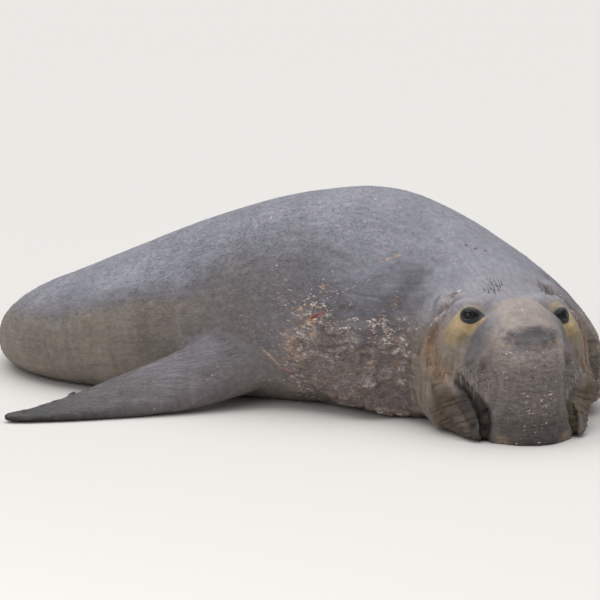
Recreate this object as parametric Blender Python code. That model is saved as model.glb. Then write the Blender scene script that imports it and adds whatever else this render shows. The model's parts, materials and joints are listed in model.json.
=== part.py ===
"""Northern elephant seal: a young bull hauled out on a beach, modelled life size as a still museum piece.

The bull lies on its belly with its throat and its proboscis on the floor. Its head faces -Y, its trunk runs
towards -X and its hind quarters turn away towards +Y. Lengths are metres, +Z is up and the floor is z = 0.
The flesh is lofted from a few named stations, fused, softened, given its folds and parted by thin cuts.
"""

import math

import bmesh
import bpy
import numpy as np
from mathutils import Matrix, Vector

# Sizes of the flesh mesh, and the gap that the cuts leave between two nodes
VOXEL = 0.010
SOFTEN_STEPS = 26
FLESH_TRIANGLES = 8600
THIN_OUT_BIAS = 0.05
CUT_GAP = 0.0003

# Trunk stations from the tail to the neck: x, y on the floor, half width, height of the back, height of the belly,
# then how high the widest place lies as a share of the height, and the power of the curve above it
TRUNK = (
    (-0.430, 2.830, 0.038, 0.160, 0.120, 0.50, 2.0),
    (-0.470, 2.745, 0.076, 0.170, 0.060, 0.45, 2.0),
    (-0.556, 2.570, 0.130, 0.184, -0.004, 0.42, 2.0),
    (-0.672, 2.290, 0.188, 0.206, -0.014, 0.40, 2.0),
    (-0.758, 1.990, 0.238, 0.236, -0.020, 0.40, 2.0),
    (-0.800, 1.690, 0.284, 0.258, -0.022, 0.40, 2.0),
    (-0.744, 1.415, 0.350, 0.372, -0.022, 0.40, 2.0),
    (-0.540, 1.245, 0.405, 0.497, -0.022, 0.40, 2.0),
    (-0.260, 1.160, 0.450, 0.615, -0.022, 0.40, 2.0),
    (0.020, 1.085, 0.480, 0.700, -0.022, 0.38, 2.0),
    (0.270, 0.970, 0.495, 0.735, -0.022, 0.34, 1.9),
    (0.460, 0.835, 0.500, 0.692, -0.022, 0.28, 1.70),
    (0.600, 0.690, 0.490, 0.622, -0.022, 0.25, 1.55),
    (0.672, 0.540, 0.430, 0.552, -0.022, 0.27, 1.65),
)

# The head turns a little towards +X. Its own axes are forward, left and up from this point on the floor
HEAD_POINT = (0.7235, 0.300)
HEAD_YAW = math.radians(15.5)

# Head stations in the head's axes: forward, half width, heights of the crown and the throat, then as for the trunk
HEAD = (
    (-0.120, 0.326, 0.502, -0.022, 0.34, 2.05),
    (-0.030, 0.290, 0.482, -0.022, 0.40, 2.4),
    (0.040, 0.262, 0.456, -0.020, 0.40, 2.6),
    (0.095, 0.220, 0.415, -0.010, 0.40, 2.5),
    (0.140, 0.145, 0.340, 0.040, 0.40, 2.1),
    (0.175, 0.070, 0.260, 0.110, 0.45, 2.1),
)

# Proboscis stations in the head's mid plane: forward, up, half width, half thickness
PROBOSCIS = (
    (-0.050, 0.390, 0.085, 0.060),
    (0.035, 0.398, 0.106, 0.070),
    (0.110, 0.382, 0.120, 0.082),
    (0.165, 0.335, 0.130, 0.088),
    (0.198, 0.265, 0.137, 0.086),
    (0.212, 0.180, 0.139, 0.083),
    (0.216, 0.090, 0.141, 0.081),
    (0.214, 0.020, 0.150, 0.086),
    (0.212, -0.022, 0.152, 0.088),
)

# Rounded masses of the head: forward, left and up, then three half sizes. Each has its twin on the other side
MASSES = {
    "whisker_pad": ((0.112, 0.098, 0.220), (0.105, 0.100, 0.112)),
    "bridge_side": ((0.085, 0.075, 0.335), (0.090, 0.092, 0.095)),
    "cheek": ((-0.030, 0.160, 0.270), (0.135, 0.105, 0.140)),
    "jowl": ((-0.020, 0.210, 0.120), (0.150, 0.100, 0.135)),
    "throat_roll": ((0.100, 0.155, 0.045), (0.152, 0.092, 0.098)),
}
CHIN = ((0.080, 0.0, 0.070), (0.130, 0.130, 0.090))

# Eyes in the head's axes: where the ball sits, the way it looks, how deep, its size, the lids and their opening
EYE_SEAT = (0.060, 0.172, 0.408)
EYE_AXIS = (0.81, 0.50, 0.30)
EYE_DEPTH = 0.0215
EYE_RADIUS = 0.0310
LID_RADIUS = 0.0372
LID_REACH = 0.075
OPENING_HALF_WIDTH = 0.0205
OPENING_HALF_HEIGHT = 0.0150

# Folds of the head in its own axes, from end to end, then the radius and the height. A negative height is a groove
HEAD_FOLDS = (
    ("face_fold", ((-0.065, 0.190, 0.455), (-0.095, 0.245, 0.370), (-0.120, 0.290, 0.250), (-0.070, 0.320, 0.080)), 0.034, -0.018),
    ("face_fold_lip", ((-0.030, 0.175, 0.450), (-0.050, 0.230, 0.370), (-0.070, 0.265, 0.240)), 0.034, 0.008),
    ("muzzle_side", ((0.085, 0.105, 0.440), (0.085, 0.150, 0.345), (0.035, 0.205, 0.290), (0.010, 0.225, 0.230)), 0.030, -0.011),
    ("pad_crease", ((0.200, 0.150, 0.290), (0.205, 0.160, 0.220), (0.215, 0.165, 0.150)), 0.024, -0.013),
    ("mouth_line", ((0.020, 0.245, 0.215), (0.090, 0.215, 0.165), (0.160, 0.180, 0.125), (0.215, 0.155, 0.100)), 0.017, -0.020),
    ("upper_lip", ((0.030, 0.235, 0.240), (0.100, 0.215, 0.192), (0.170, 0.180, 0.152)), 0.020, 0.007),
    ("lower_lip", ((0.020, 0.240, 0.180), (0.090, 0.215, 0.132), (0.170, 0.180, 0.092)), 0.020, 0.006),
    ("throat_fold", ((-0.020, 0.320, 0.150), (0.090, 0.280, 0.075), (0.200, 0.220, 0.020)), 0.026, -0.014),
    ("ear_pit", ((-0.095, 0.240, 0.395), (-0.100, 0.242, 0.390)), 0.014, -0.010),
)
NOSE_FOLDS = (
    ("nose_crease", ((0.245, 0.085, 0.325), (0.275, 0.0, 0.302), (0.245, -0.085, 0.325)), 0.036, -0.013),
    ("nose_patch", ((0.225, 0.045, 0.372), (0.235, 0.0, 0.368), (0.225, -0.045, 0.372)), 0.058, 0.012),
)

# Rings of loose skin on the neck and chest: how far along the trunk line they lie, and how deep
NECK_FOLDS = ((0.630, 0.620, -0.007), (0.530, 0.770, -0.005), (0.400, 0.880, -0.004))
NECK_FOLD_RADIUS = 0.060

# Right fore flipper from the shoulder to the tip: x, y, z, half chord, half thickness, tilt of the chord
FORE_FLIPPER = (
    (-0.020, 0.840, 0.260, 0.150, 0.120, 62.0),
    (-0.200, 0.725, 0.175, 0.138, 0.088, 52.0),
    (-0.420, 0.618, 0.100, 0.124, 0.060, 40.0),
    (-0.620, 0.548, 0.060, 0.108, 0.040, 26.0),
    (-0.800, 0.476, 0.031, 0.086, 0.025, 12.0),
    (-0.950, 0.418, 0.020, 0.056, 0.019, 4.0),
    (-1.030, 0.392, 0.016, 0.022, 0.015, 0.0),
)
TRUNK_MIRROR_POINT = (0.060, 1.070)
TRUNK_MIRROR_AXIS = (-0.922, 0.387)
DIGITS = 5
DIGIT_GROOVE_RADIUS = 0.016
DIGIT_GROOVE_DEPTH = 0.007
CLAW_LENGTH = 0.030
CLAW_RADIUS = 0.0065

# Hind flippers: the ankle, and the digits as angle from the mid digit, length and radius
ANKLE = (-0.470, 2.745, 0.056)
HIND_HEADING = (0.440, 0.898)
ANKLE_SPREAD = 0.048
HIND_TOE_OUT = math.radians(9.0)
HIND_DIGITS = ((-25.0, 0.530, 0.038), (-13.0, 0.475, 0.030), (0.0, 0.445, 0.028), (13.0, 0.470, 0.030), (25.0, 0.520, 0.037))
HIND_FAN_TILT = math.radians(12.0)
HIND_WEB_THICKNESS = 0.024

# Upright cuts through the trunk: a point on the floor, the way that the cut faces, its reach and its lowest height
TRUNK_CUTS = (
    ((0.7545, 0.412), (0.267, -0.964), 0.62, -0.20),
    ((0.540, 0.762), (0.660, -0.751), 0.70, -0.20),
    ((-0.330, 1.182), (0.958, -0.285), 0.49, -0.20),
    ((-0.782, 1.520), (0.420, -0.908), 0.50, -0.20),
    ((-0.480, 2.725), (-0.440, -0.898), 0.30, -0.20),
)
CUT_HEIGHT = 1.1
TAIL_UNDERSIDE = 0.108
HIND_SPLIT_LENGTH = 0.80
FORE_CUT_SHARE = 0.405
FORE_CUT_REACH = 0.165
PROBOSCIS_WALL = ((0.400, 0.192), (0.215, 0.164), (0.138, 0.120), (0.138, -0.120), (0.215, -0.164), (0.400, -0.192))
JAW_LINE = (
    (0.400, -0.010),
    (0.215, 0.100),
    (0.160, 0.125),
    (0.090, 0.165),
    (0.020, 0.214),
    (-0.004, 0.190),
    (-0.012, -0.060),
)

JAW_REACH = 0.42

# Nostrils: a slit on each side of the tip of the nose
NOSTRIL_CENTRE = (0.290, 0.050, 0.026)
NOSTRIL_SIZES = (0.024, 0.0070, 0.013)

# A place inside each piece of flesh, by which it gets its name
NODE_SEEDS = {
    "head": (0.72, 0.32, 0.30),
    "proboscis": (0.78, 0.07, 0.20),
    "lower_jaw": (0.75, 0.23, 0.06),
    "neck": (0.66, 0.60, 0.25),
    "chest": (0.12, 1.00, 0.32),
    "loin": (-0.56, 1.28, 0.20),
    "hips": (-0.72, 2.02, 0.12),
    "tail": (-0.45, 2.79, 0.14),
    "hind_flipper_right": (-0.38, 3.02, 0.06),
    "hind_flipper_left": (-0.28, 2.97, 0.06),
    "fore_flipper_right": (-0.68, 0.53, 0.05),
    "fore_flipper_left": (-0.02, 2.00, 0.05),
}
SMALLEST_PIECE = 2e-4

# Edges sharper than this stay sharp in the shading
SHARP_ANGLE = math.radians(55.0)

# Colours as red, green, blue, then the roughness
SKIN_GREY = (0.190, 0.190, 0.215, 0.62)
SKIN_BROWN = (0.150, 0.118, 0.090, 0.66)
NOSE_GREY = (0.190, 0.165, 0.150, 0.58)
FLIPPER_GREY = (0.130, 0.118, 0.120, 0.60)
EYE_BLACK = (0.012, 0.012, 0.018, 0.06)


def clear_scene():
    for old in list(bpy.data.objects):
        bpy.data.objects.remove(old, do_unlink=True)


def head_axes():
    """Forward, left and up of the head."""
    forward = Vector((math.sin(HEAD_YAW), -math.cos(HEAD_YAW), 0.0))
    left = Vector((math.cos(HEAD_YAW), math.sin(HEAD_YAW), 0.0))
    return forward, left, Vector((0.0, 0.0, 1.0))


def head_place(forward, left, up):
    """Place of a point given in the head's axes."""
    f, l, u = head_axes()
    return Vector((*HEAD_POINT, 0.0)) + f * forward + l * left + u * up


def head_direction(forward, left, up):
    f, l, u = head_axes()
    return (f * forward + l * left + u * up).normalized()


def resample(stations, count, place_columns=2):
    """Stations at even steps along a smooth curve through the given ones."""
    knots = np.array(stations, float)
    padded = np.vstack([2 * knots[0] - knots[1], knots, 2 * knots[-1] - knots[-2]])
    fine = []
    for i in range(len(knots) - 1):
        a, b, c, d = padded[i : i + 4]
        for t in np.linspace(0, 1, 24, endpoint=False):
            first = 2 * b + (c - a) * t
            second = (2 * a - 5 * b + 4 * c - d) * t**2
            third = (3 * b - a - 3 * c + d) * t**3
            fine.append(0.5 * (first + second + third))
    fine.append(knots[-1])
    fine = np.array(fine)
    lengths = np.linalg.norm(np.diff(fine[:, :place_columns], axis=0), axis=1) + 1e-9
    run = np.concatenate([[0], np.cumsum(lengths)])
    steps = np.linspace(0, run[-1], count)
    return np.column_stack([np.interp(steps, run, fine[:, k]) for k in range(fine.shape[1])])


def squircle(angle, power):
    """Cosine and sine of an angle, squared off as a superellipse of that power."""
    c, s = math.cos(angle), math.sin(angle)
    return math.copysign(abs(c) ** (2 / power), c), math.copysign(abs(s) ** (2 / power), s)


def new_object(name, mesh, turn_outwards=True):
    """An object holding the closed bmesh, with its faces turned outwards."""
    if turn_outwards:
        bmesh.ops.recalc_face_normals(mesh, faces=mesh.faces)
    data = bpy.data.meshes.new(name)
    mesh.to_mesh(data)
    mesh.free()
    made = bpy.data.objects.new(name, data)
    bpy.context.scene.collection.objects.link(made)
    return made


def loft(name, rings):
    """A closed mesh through rings of points, with a fan of faces at each end."""
    mesh = bmesh.new()
    made = [[mesh.verts.new(p) for p in ring] for ring in rings]
    for first, second in zip(made, made[1:]):
        for k in range(len(first)):
            j = (k + 1) % len(first)
            mesh.faces.new((first[k], first[j], second[j], second[k]))
    for ring in (made[0], made[-1]):
        middle = mesh.verts.new(sum((v.co for v in ring), Vector()) / len(ring))
        for k in range(len(ring)):
            mesh.faces.new((ring[k], ring[(k + 1) % len(ring)], middle))
    return new_object(name, mesh)


def trunk_section(centre, side, half_width, top, bottom, share, power, sides=48):
    """A ring across the trunk: narrower over the back, broad and flatter where it lies on the floor."""
    widest = bottom + (top - bottom) * share
    ring = []
    for k in range(sides):
        angle = 2 * math.pi * k / sides
        above = math.sin(angle) > 0
        c, s = squircle(angle, power if above else 2.9)
        height = widest + ((top - widest) if above else (widest - bottom)) * s
        ring.append(centre + side * (half_width * c) + Vector((0, 0, height)))
    return ring


def trunk():
    """The trunk, neck and skull in one loft, from the tail to the muzzle."""
    stations = [list(s) for s in TRUNK]
    for forward, *shape in HEAD:
        place = head_place(forward, 0, 0)
        stations.append([place.x, place.y, *shape])
    line = resample(stations, 150)
    slopes = np.gradient(line[:, :2], axis=0)
    rings = []
    for (x, y, *shape), slope in zip(line, slopes):
        side = Vector((slope[1], -slope[0], 0)).normalized()
        rings.append(trunk_section(Vector((x, y, 0)), side, *shape))
    return loft("trunk_form", rings)


def proboscis_form():
    """The nose: over the bridge, round the bend and down to the floor."""
    line = resample(PROBOSCIS, 40)
    slopes = np.gradient(line[:, :2], axis=0)
    rings = []
    for (forward, up, half_width, half_thick), slope in zip(line, slopes):
        normal = np.array([-slope[1], slope[0]]) / np.linalg.norm(slope)
        ring = []
        for k in range(40):
            c, s = squircle(2 * math.pi * k / 40, 2.2)
            out = half_thick * s
            ring.append(head_place(forward + normal[0] * out, half_width * c, up + normal[1] * out))
        rings.append(ring)
    return loft("proboscis_form", rings)


def rounded_mass(name, centre, sizes):
    """A rounded mass in the head's axes."""
    rings = []
    for i in range(1, 16):
        polar = math.pi * i / 16
        ring = []
        for k in range(24):
            turn = 2 * math.pi * k / 24
            forward = centre[0] + sizes[0] * math.cos(polar)
            left = centre[1] + sizes[1] * math.sin(polar) * math.cos(turn)
            up = centre[2] + sizes[2] * math.sin(polar) * math.sin(turn)
            ring.append(head_place(forward, left, up))
        rings.append(ring)
    return loft(name, rings)


def head_masses():
    made = [rounded_mass("chin_form", *CHIN)]
    for name, (centre, sizes) in MASSES.items():
        for hand in (1, -1):
            made.append(rounded_mass(name + "_form", (centre[0], centre[1] * hand, centre[2]), sizes))
    return made


def mirror_across_trunk(x, y):
    """The same place on the other side of the trunk."""
    point, axis = Vector(TRUNK_MIRROR_POINT), Vector(TRUNK_MIRROR_AXIS).normalized()
    offset = Vector((x, y)) - point
    along = axis * offset.dot(axis)
    return point + along * 2 - offset


def fore_flipper_line(hand):
    """Stations of a fore flipper: centre, chord, thickness direction, half chord and half thickness."""
    line = resample(FORE_FLIPPER, 44)
    if hand > 0:
        for row in line:
            row[:2] = mirror_across_trunk(row[0], row[1])
    slopes = np.gradient(line[:, :3], axis=0)
    stations = []
    for (x, y, z, half_chord, half_thick, tilt), slope in zip(line, slopes):
        along = Vector(slope).normalized()
        level = Vector((along.y, -along.x, 0)).normalized() * (1 if hand < 0 else -1)
        tilt = math.radians(tilt)
        chord = level * math.cos(tilt) + Vector((0, 0, 1)) * math.sin(tilt)
        thick = along.cross(chord).normalized()
        stations.append((Vector((x, y, z)), chord, thick, half_chord, half_thick))
    return stations


def fore_flipper_form(hand):
    rings = []
    for centre, chord, thick, half_chord, half_thick in fore_flipper_line(hand):
        ring = []
        for k in range(32):
            c, s = squircle(2 * math.pi * k / 32, 2.2)
            ring.append(centre + chord * (half_chord * c) + thick * (half_thick * s))
        rings.append(ring)
    return loft("fore_flipper_form", rings)


def tube(name, start, end, start_radius, end_radius, sides=16, steps=12):
    """A tapered rod with rounded ends."""
    axis = (end - start).normalized()
    across = axis.orthogonal().normalized()
    other = axis.cross(across)
    rings = []
    for i in range(steps + 1):
        t = i / steps
        radius = (start_radius + (end_radius - start_radius) * t) * math.sqrt(max(0.06, 1 - (2 * t - 1) ** 8))
        middle = start.lerp(end, t)
        ring = []
        for k in range(sides):
            turn = 2 * math.pi * k / sides
            ring.append(middle + across * (radius * math.cos(turn)) + other * (radius * math.sin(turn)))
        rings.append(ring)
    return loft(name, rings)


def hind_digit_ends(hand):
    """Root and tip of each digit of one hind flipper, with its radius."""
    heading = Vector((*HIND_HEADING, 0)).normalized()
    across = Vector((heading.y, -heading.x, 0)) * hand
    root = Vector(ANKLE) + across * ANKLE_SPREAD
    along = heading * math.cos(HIND_TOE_OUT) + across * math.sin(HIND_TOE_OUT) - Vector((0, 0, 0.045))
    along.normalize()
    level = Vector((along.y, -along.x, 0)).normalized() * hand
    fan = level * math.cos(HIND_FAN_TILT) + Vector((0, 0, 1)) * math.sin(HIND_FAN_TILT)
    ends = []
    for angle, length, radius in HIND_DIGITS:
        turn = math.radians(angle)
        tip = root + along * (length * math.cos(turn)) + fan * (length * math.sin(turn))
        tip.z = max(tip.z, 0.016)
        ends.append((root + fan * (0.045 * math.sin(turn)), tip, radius))
    return ends


def web_between(name, first, second):
    """The web between two neighbouring digits: a thin slab with rounded edges."""
    corners = [first[0], first[0].lerp(first[1], 0.93), second[0].lerp(second[1], 0.93), second[0]]
    normal = (corners[1] - corners[0]).cross(corners[3] - corners[0] + (corners[2] - corners[1])).normalized()
    offset = normal * (HIND_WEB_THICKNESS / 2)
    mesh = bmesh.new()
    over = [mesh.verts.new(c + offset) for c in corners]
    under = [mesh.verts.new(c - offset) for c in corners]
    mesh.faces.new(over)
    mesh.faces.new(list(reversed(under)))
    for k in range(4):
        j = (k + 1) % 4
        mesh.faces.new((over[k], under[k], under[j], over[j]))
    return new_object(name, mesh)


def hind_flipper_forms(hand):
    ends = hind_digit_ends(hand)
    forms = [tube("hind_digit_form", root, tip, 0.033, radius) for root, tip, radius in ends]
    forms += [web_between("hind_web_form", a, b) for a, b in zip(ends, ends[1:])]
    shin = Vector(ANKLE) - Vector((*HIND_HEADING, 0)) * 0.16
    forms.append(tube("ankle_form", shin, ends[2][0].lerp(ends[2][1], 0.22), 0.056, 0.042))
    return forms


def join(objects, name):
    """One object holding every given mesh."""
    mesh = bmesh.new()
    for o in objects:
        mesh.from_mesh(o.data)
    for o in objects:
        bpy.data.objects.remove(o, do_unlink=True)
    return new_object(name, mesh)


def apply_modifiers(target):
    """Puts the mesh that the modifiers give in place of the object's own."""
    bpy.context.view_layer.update()
    graph = bpy.context.evaluated_depsgraph_get()
    mesh = bpy.data.meshes.new_from_object(target.evaluated_get(graph))
    target.modifiers.clear()
    target.data = mesh


def coordinates(mesh):
    values = np.empty(len(mesh.vertices) * 3)
    mesh.vertices.foreach_get("co", values)
    return values.reshape(-1, 3)


def normals(mesh):
    values = np.empty(len(mesh.vertices) * 3)
    mesh.vertices.foreach_get("normal", values)
    return values.reshape(-1, 3)


def set_coordinates(mesh, values):
    mesh.vertices.foreach_set("co", values.ravel())
    mesh.update()


def distance_to_path(points, path):
    """Distance of every point to a chain of segments."""
    nearest = np.full(len(points), 1e9)
    for a, b in zip(path[:-1], path[1:]):
        a, b = np.array(a), np.array(b)
        run = b - a
        t = np.clip(((points - a) @ run) / max(run @ run, 1e-12), 0, 1)
        nearest = np.minimum(nearest, np.linalg.norm(points - a - t[:, None] * run, axis=1))
    return nearest


def press_fold(mesh, path, radius, height):
    """Raises or lowers the surface along a path, fading out at the radius."""
    points = coordinates(mesh)
    away = distance_to_path(points, path)
    weight = np.clip(1 - (away / radius) ** 2, 0, 1) ** 2
    set_coordinates(mesh, points + normals(mesh) * (height * weight)[:, None])


def on_surface(target, path):
    """The path's points, each moved to the nearest place on the surface, with more between them."""
    dense = resample([tuple(p) for p in path], 16, 3)
    return [tuple(target.closest_point_on_mesh(Vector(p))[1]) for p in dense]


def press_head_folds(flesh):
    for name, path, radius, height in HEAD_FOLDS:
        for hand in (1, -1):
            places = [head_place(f, l * hand, u) for f, l, u in path]
            press_fold(flesh.data, on_surface(flesh, places), radius, height)
    for name, path, radius, height in NOSE_FOLDS:
        places = [head_place(*p) for p in path]
        press_fold(flesh.data, on_surface(flesh, places), radius, height)


def press_neck_folds(flesh):
    """Rings of loose skin, strongest at the sides and fading out over the back."""
    points, out = coordinates(flesh.data), normals(flesh.data)
    line = np.array([s[:2] for s in TRUNK])
    for x, y, depth in NECK_FOLDS:
        nearest = int(np.argmin(np.linalg.norm(line - (x, y), axis=1)))
        slope = line[min(nearest + 1, len(line) - 1)] - line[max(nearest - 1, 0)]
        slope = slope / np.linalg.norm(slope)
        offset = points[:, :2] - (x, y)
        lean = 0.16 * (points[:, 2] - 0.3)
        ripple = 0.018 * np.sin(points[:, 2] * 21 + x * 9)
        along = offset @ slope + lean + ripple
        across = np.abs(offset @ np.array([slope[1], -slope[0]]))
        weight = np.clip(1 - (along / NECK_FOLD_RADIUS) ** 2, 0, 1) ** 2
        fade = np.clip((0.50 - points[:, 2]) / 0.25, 0, 1) * (across < 0.75)
        points = points + out * (depth * weight * fade)[:, None]
    set_coordinates(flesh.data, points)


def press_digit_grooves(flesh):
    for hand in (1, -1):
        stations = fore_flipper_line(hand)[16:42]
        for k in range(1, DIGITS):
            share = -0.72 + 1.44 * k / DIGITS
            path = []
            for centre, chord, thick, half_chord, half_thick in stations[::3]:
                upward = thick if thick.z > 0 else -thick
                path.append(centre + chord * (half_chord * share) + upward * half_thick)
            press_fold(flesh.data, on_surface(flesh, path), DIGIT_GROOVE_RADIUS, -DIGIT_GROOVE_DEPTH)


def eye_direction(hand):
    f, l, u = EYE_AXIS
    return head_direction(f, l * hand, u)


def seat_eyes(flesh):
    """The middle of each eyeball, a set depth below the skin that lies in front of its seat."""
    seats = {}
    for hand in (1, -1):
        ahead = eye_direction(hand)
        start = head_place(EYE_SEAT[0], EYE_SEAT[1] * hand, EYE_SEAT[2]) + ahead * 0.15
        found = flesh.ray_cast(start, -ahead)
        seats[hand] = found[1] - ahead * EYE_DEPTH
    return seats


def swell_lids(mesh, eyes):
    """Pushes the skin round each eye out to a ball a little larger than the eye."""
    points = coordinates(mesh)
    for hand, seat in eyes.items():
        offset = points - np.array(seat)
        away = np.linalg.norm(offset, axis=1)
        facing = offset @ np.array(eye_direction(hand)) / away
        wanted = np.maximum(away, LID_RADIUS)
        near = np.clip((LID_REACH - away) / (LID_REACH - LID_RADIUS), 0, 1)
        share = near * np.clip((facing + 0.1) / 0.3, 0, 1)
        moved = away + (wanted - away) * share
        points = points + offset * ((moved / away - 1))[:, None]
    set_coordinates(mesh, points)


def flatten_underside(mesh, height=0.0):
    points = coordinates(mesh)
    points[:, 2] = np.where(points[:, 2] < height, 0.0, points[:, 2])
    set_coordinates(mesh, points)


def build_flesh():
    forms = [trunk(), proboscis_form(), *head_masses()]
    for hand in (1, -1):
        forms.append(fore_flipper_form(hand))
        forms += hind_flipper_forms(hand)
    flesh = join(forms, "flesh")
    remesh = flesh.modifiers.new("remesh", "REMESH")
    remesh.mode = "VOXEL"
    remesh.voxel_size = VOXEL
    apply_modifiers(flesh)
    soften(flesh)
    eyes = seat_eyes(flesh)
    swell_lids(flesh.data, eyes)
    press_head_folds(flesh)
    press_neck_folds(flesh)
    press_digit_grooves(flesh)
    flatten_underside(flesh.data)
    thin_out(flesh, eyes)
    flatten_underside(flesh.data, 0.0008)
    return flesh, eyes


def thin_out(flesh, eyes):
    """Fewer triangles, but closely set ones round the eyes and on the face."""
    points = coordinates(flesh.data)
    face = np.array(head_place(0.12, 0, 0.22))
    away = np.linalg.norm(points - face, axis=1)
    weight = np.clip((away - 0.22) / 0.35, 0, 1) * 0.55 + 0.45
    for seat in eyes.values():
        near = np.linalg.norm(points - np.array(seat), axis=1)
        weight = np.minimum(weight, np.clip((near - 0.045) / 0.05, 0.02, 1))
    group = flesh.vertex_groups.new(name="thin_out")
    for level in range(1, 21):
        chosen = np.nonzero(np.ceil(weight * 20).astype(int) == level)[0]
        group.add(chosen.tolist(), level / 20, "REPLACE")
    decimate = flesh.modifiers.new("decimate", "DECIMATE")
    decimate.ratio = FLESH_TRIANGLES / (2.0 * len(flesh.data.polygons))
    decimate.vertex_group = "thin_out"
    decimate.vertex_group_factor = THIN_OUT_BIAS
    apply_modifiers(flesh)


def soften(flesh):
    """Smooths the fused forms, and the thin flippers less than the rest."""
    group = flesh.vertex_groups.new(name="soften")
    points = coordinates(flesh.data)
    thin = (points[:, 1] > 2.74) | ((points[:, 0] < -0.50) & (points[:, 1] < 0.85))
    far = mirror_across_trunk(-0.50, 0.55)
    thin |= (points[:, 0] > -0.60) & (points[:, 1] > far.y)
    group.add(np.nonzero(thin)[0].tolist(), 0.35, "REPLACE")
    group.add(np.nonzero(~thin)[0].tolist(), 1.0, "REPLACE")
    smooth = flesh.modifiers.new("smooth", "SMOOTH")
    smooth.factor = 0.5
    smooth.iterations = SOFTEN_STEPS
    smooth.vertex_group = "soften"
    apply_modifiers(flesh)


def slab(point, facing, reach, low, high, thickness=CUT_GAP):
    """A thin upright sheet, centred on a point of the floor."""
    normal = Vector((*facing, 0)).normalized() * (thickness / 2)
    across = Vector((-facing[1], facing[0], 0)).normalized() * reach
    middle = Vector((*point, 0))
    plan = [middle + across + normal, middle - across + normal, middle - across - normal, middle + across - normal]
    return prism("slab", plan, Vector((0, 0, low)), Vector((0, 0, high)))


def prism(name, outline, first, second):
    """A solid swept from one offset of an outline to another."""
    mesh = bmesh.new()
    lower = [mesh.verts.new(p + first) for p in outline]
    upper = [mesh.verts.new(p + second) for p in outline]
    mesh.faces.new(lower)
    mesh.faces.new(list(reversed(upper)))
    for k in range(len(outline)):
        j = (k + 1) % len(outline)
        mesh.faces.new((lower[k], upper[k], upper[j], lower[j]))
    return new_object(name, mesh)


def ribbon(line, thickness=CUT_GAP):
    """The outline of a thin band along an open line in a plane, mitred at its corners."""
    points = np.array(line, float)
    slopes = np.diff(points, axis=0)
    slopes /= np.linalg.norm(slopes, axis=1)[:, None]
    sides = np.column_stack([-slopes[:, 1], slopes[:, 0]])
    corners = np.vstack([sides[0], sides[:-1] + sides[1:], sides[-1]])
    corners /= np.linalg.norm(corners, axis=1)[:, None]
    lean = np.concatenate([[1], np.einsum("ij,ij->i", corners[1:-1], sides[1:]), [1]])
    offset = corners * (thickness / 2 / lean)[:, None]
    return list(points + offset) + list((points - offset)[::-1])


def proboscis_cutter():
    """Walls behind and beside the hanging nose."""
    outline = [head_place(f, l, 0) for f, l in ribbon(PROBOSCIS_WALL)]
    return prism("proboscis_cutter", outline, Vector((0, 0, -0.2)), Vector((0, 0, CUT_HEIGHT)))


def jaw_cutter():
    """The line of the mouth, swept from side to side but left out inside the hanging nose."""
    outline = [head_place(f, 0, u) for f, u in ribbon(JAW_LINE)]
    left = head_axes()[1]
    sheet = prism("jaw_cutter", outline, left * -JAW_REACH, left * JAW_REACH)
    plan = [head_place(f, l, 0) for f, l in PROBOSCIS_WALL]
    nose = prism("nose_space", plan, Vector((0, 0, -0.2)), Vector((0, 0, CUT_HEIGHT)))
    combine(sheet, nose, "DIFFERENCE")
    return sheet


def ball(name, centre, radius, columns, rows):
    mesh = bmesh.new()
    bmesh.ops.create_uvsphere(mesh, u_segments=columns, v_segments=rows, radius=radius)
    bmesh.ops.translate(mesh, verts=mesh.verts, vec=centre)
    return new_object(name, mesh)


def eye_frame(hand):
    """Across and up of the eye, seen along the way it looks."""
    ahead = eye_direction(hand)
    up = (Vector((0, 0, 1)) - ahead * ahead.z).normalized()
    return ahead, up.cross(ahead).normalized(), up


def opening_cutter(hand, centre, sides=28):
    """The opening between the lids, a little narrower towards its corners."""
    ahead, across, up = eye_frame(hand)
    outline = []
    for k in range(sides):
        angle = 2 * math.pi * k / sides
        x, y = math.cos(angle), math.sin(angle)
        narrow = 1 - 0.22 * x**2
        outline.append(centre + across * (OPENING_HALF_WIDTH * x) + up * (OPENING_HALF_HEIGHT * y * narrow))
    return prism("opening", outline, ahead * 0.004, ahead * 0.12)


def nostril_cutter(hand):
    forward, left, up = NOSTRIL_CENTRE
    return rounded_mass("nostril", (forward, left * hand, up), NOSTRIL_SIZES)


def fore_cutter(hand):
    """A sheet across a fore flipper, just outside the flank."""
    stations = fore_flipper_line(hand)
    k = int(FORE_CUT_SHARE * len(stations))
    along = stations[k + 1][0] - stations[k - 1][0]
    point = stations[k][0]
    return slab((point.x, point.y), (along.x, along.y), FORE_CUT_REACH, -0.2, 0.30)


def tail_cutters():
    """The sheet under the tail and the one between the two hind flippers."""
    point, facing = Vector((*TRUNK_CUTS[-1][0], 0)), Vector((*TRUNK_CUTS[-1][1], 0)).normalized()
    back = -facing
    across = Vector((-facing.y, facing.x, 0))
    corners = [point - back * CUT_GAP, point + back * 0.4]
    plan = [corners[0] + across * 0.3, corners[0] - across * 0.3, corners[1] - across * 0.3, corners[1] + across * 0.3]
    low, high = Vector((0, 0, TAIL_UNDERSIDE)), Vector((0, 0, TAIL_UNDERSIDE + CUT_GAP))
    under = prism("tail_underside", plan, low, high)
    heading = Vector((*HIND_HEADING, 0)).normalized()
    middle = Vector((*ANKLE[:2], 0)) + heading * (HIND_SPLIT_LENGTH / 2 - 0.10)
    between = slab((middle.x, middle.y), (heading.y, -heading.x), HIND_SPLIT_LENGTH / 2, -0.2, TAIL_UNDERSIDE)
    return [under, between]


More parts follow.
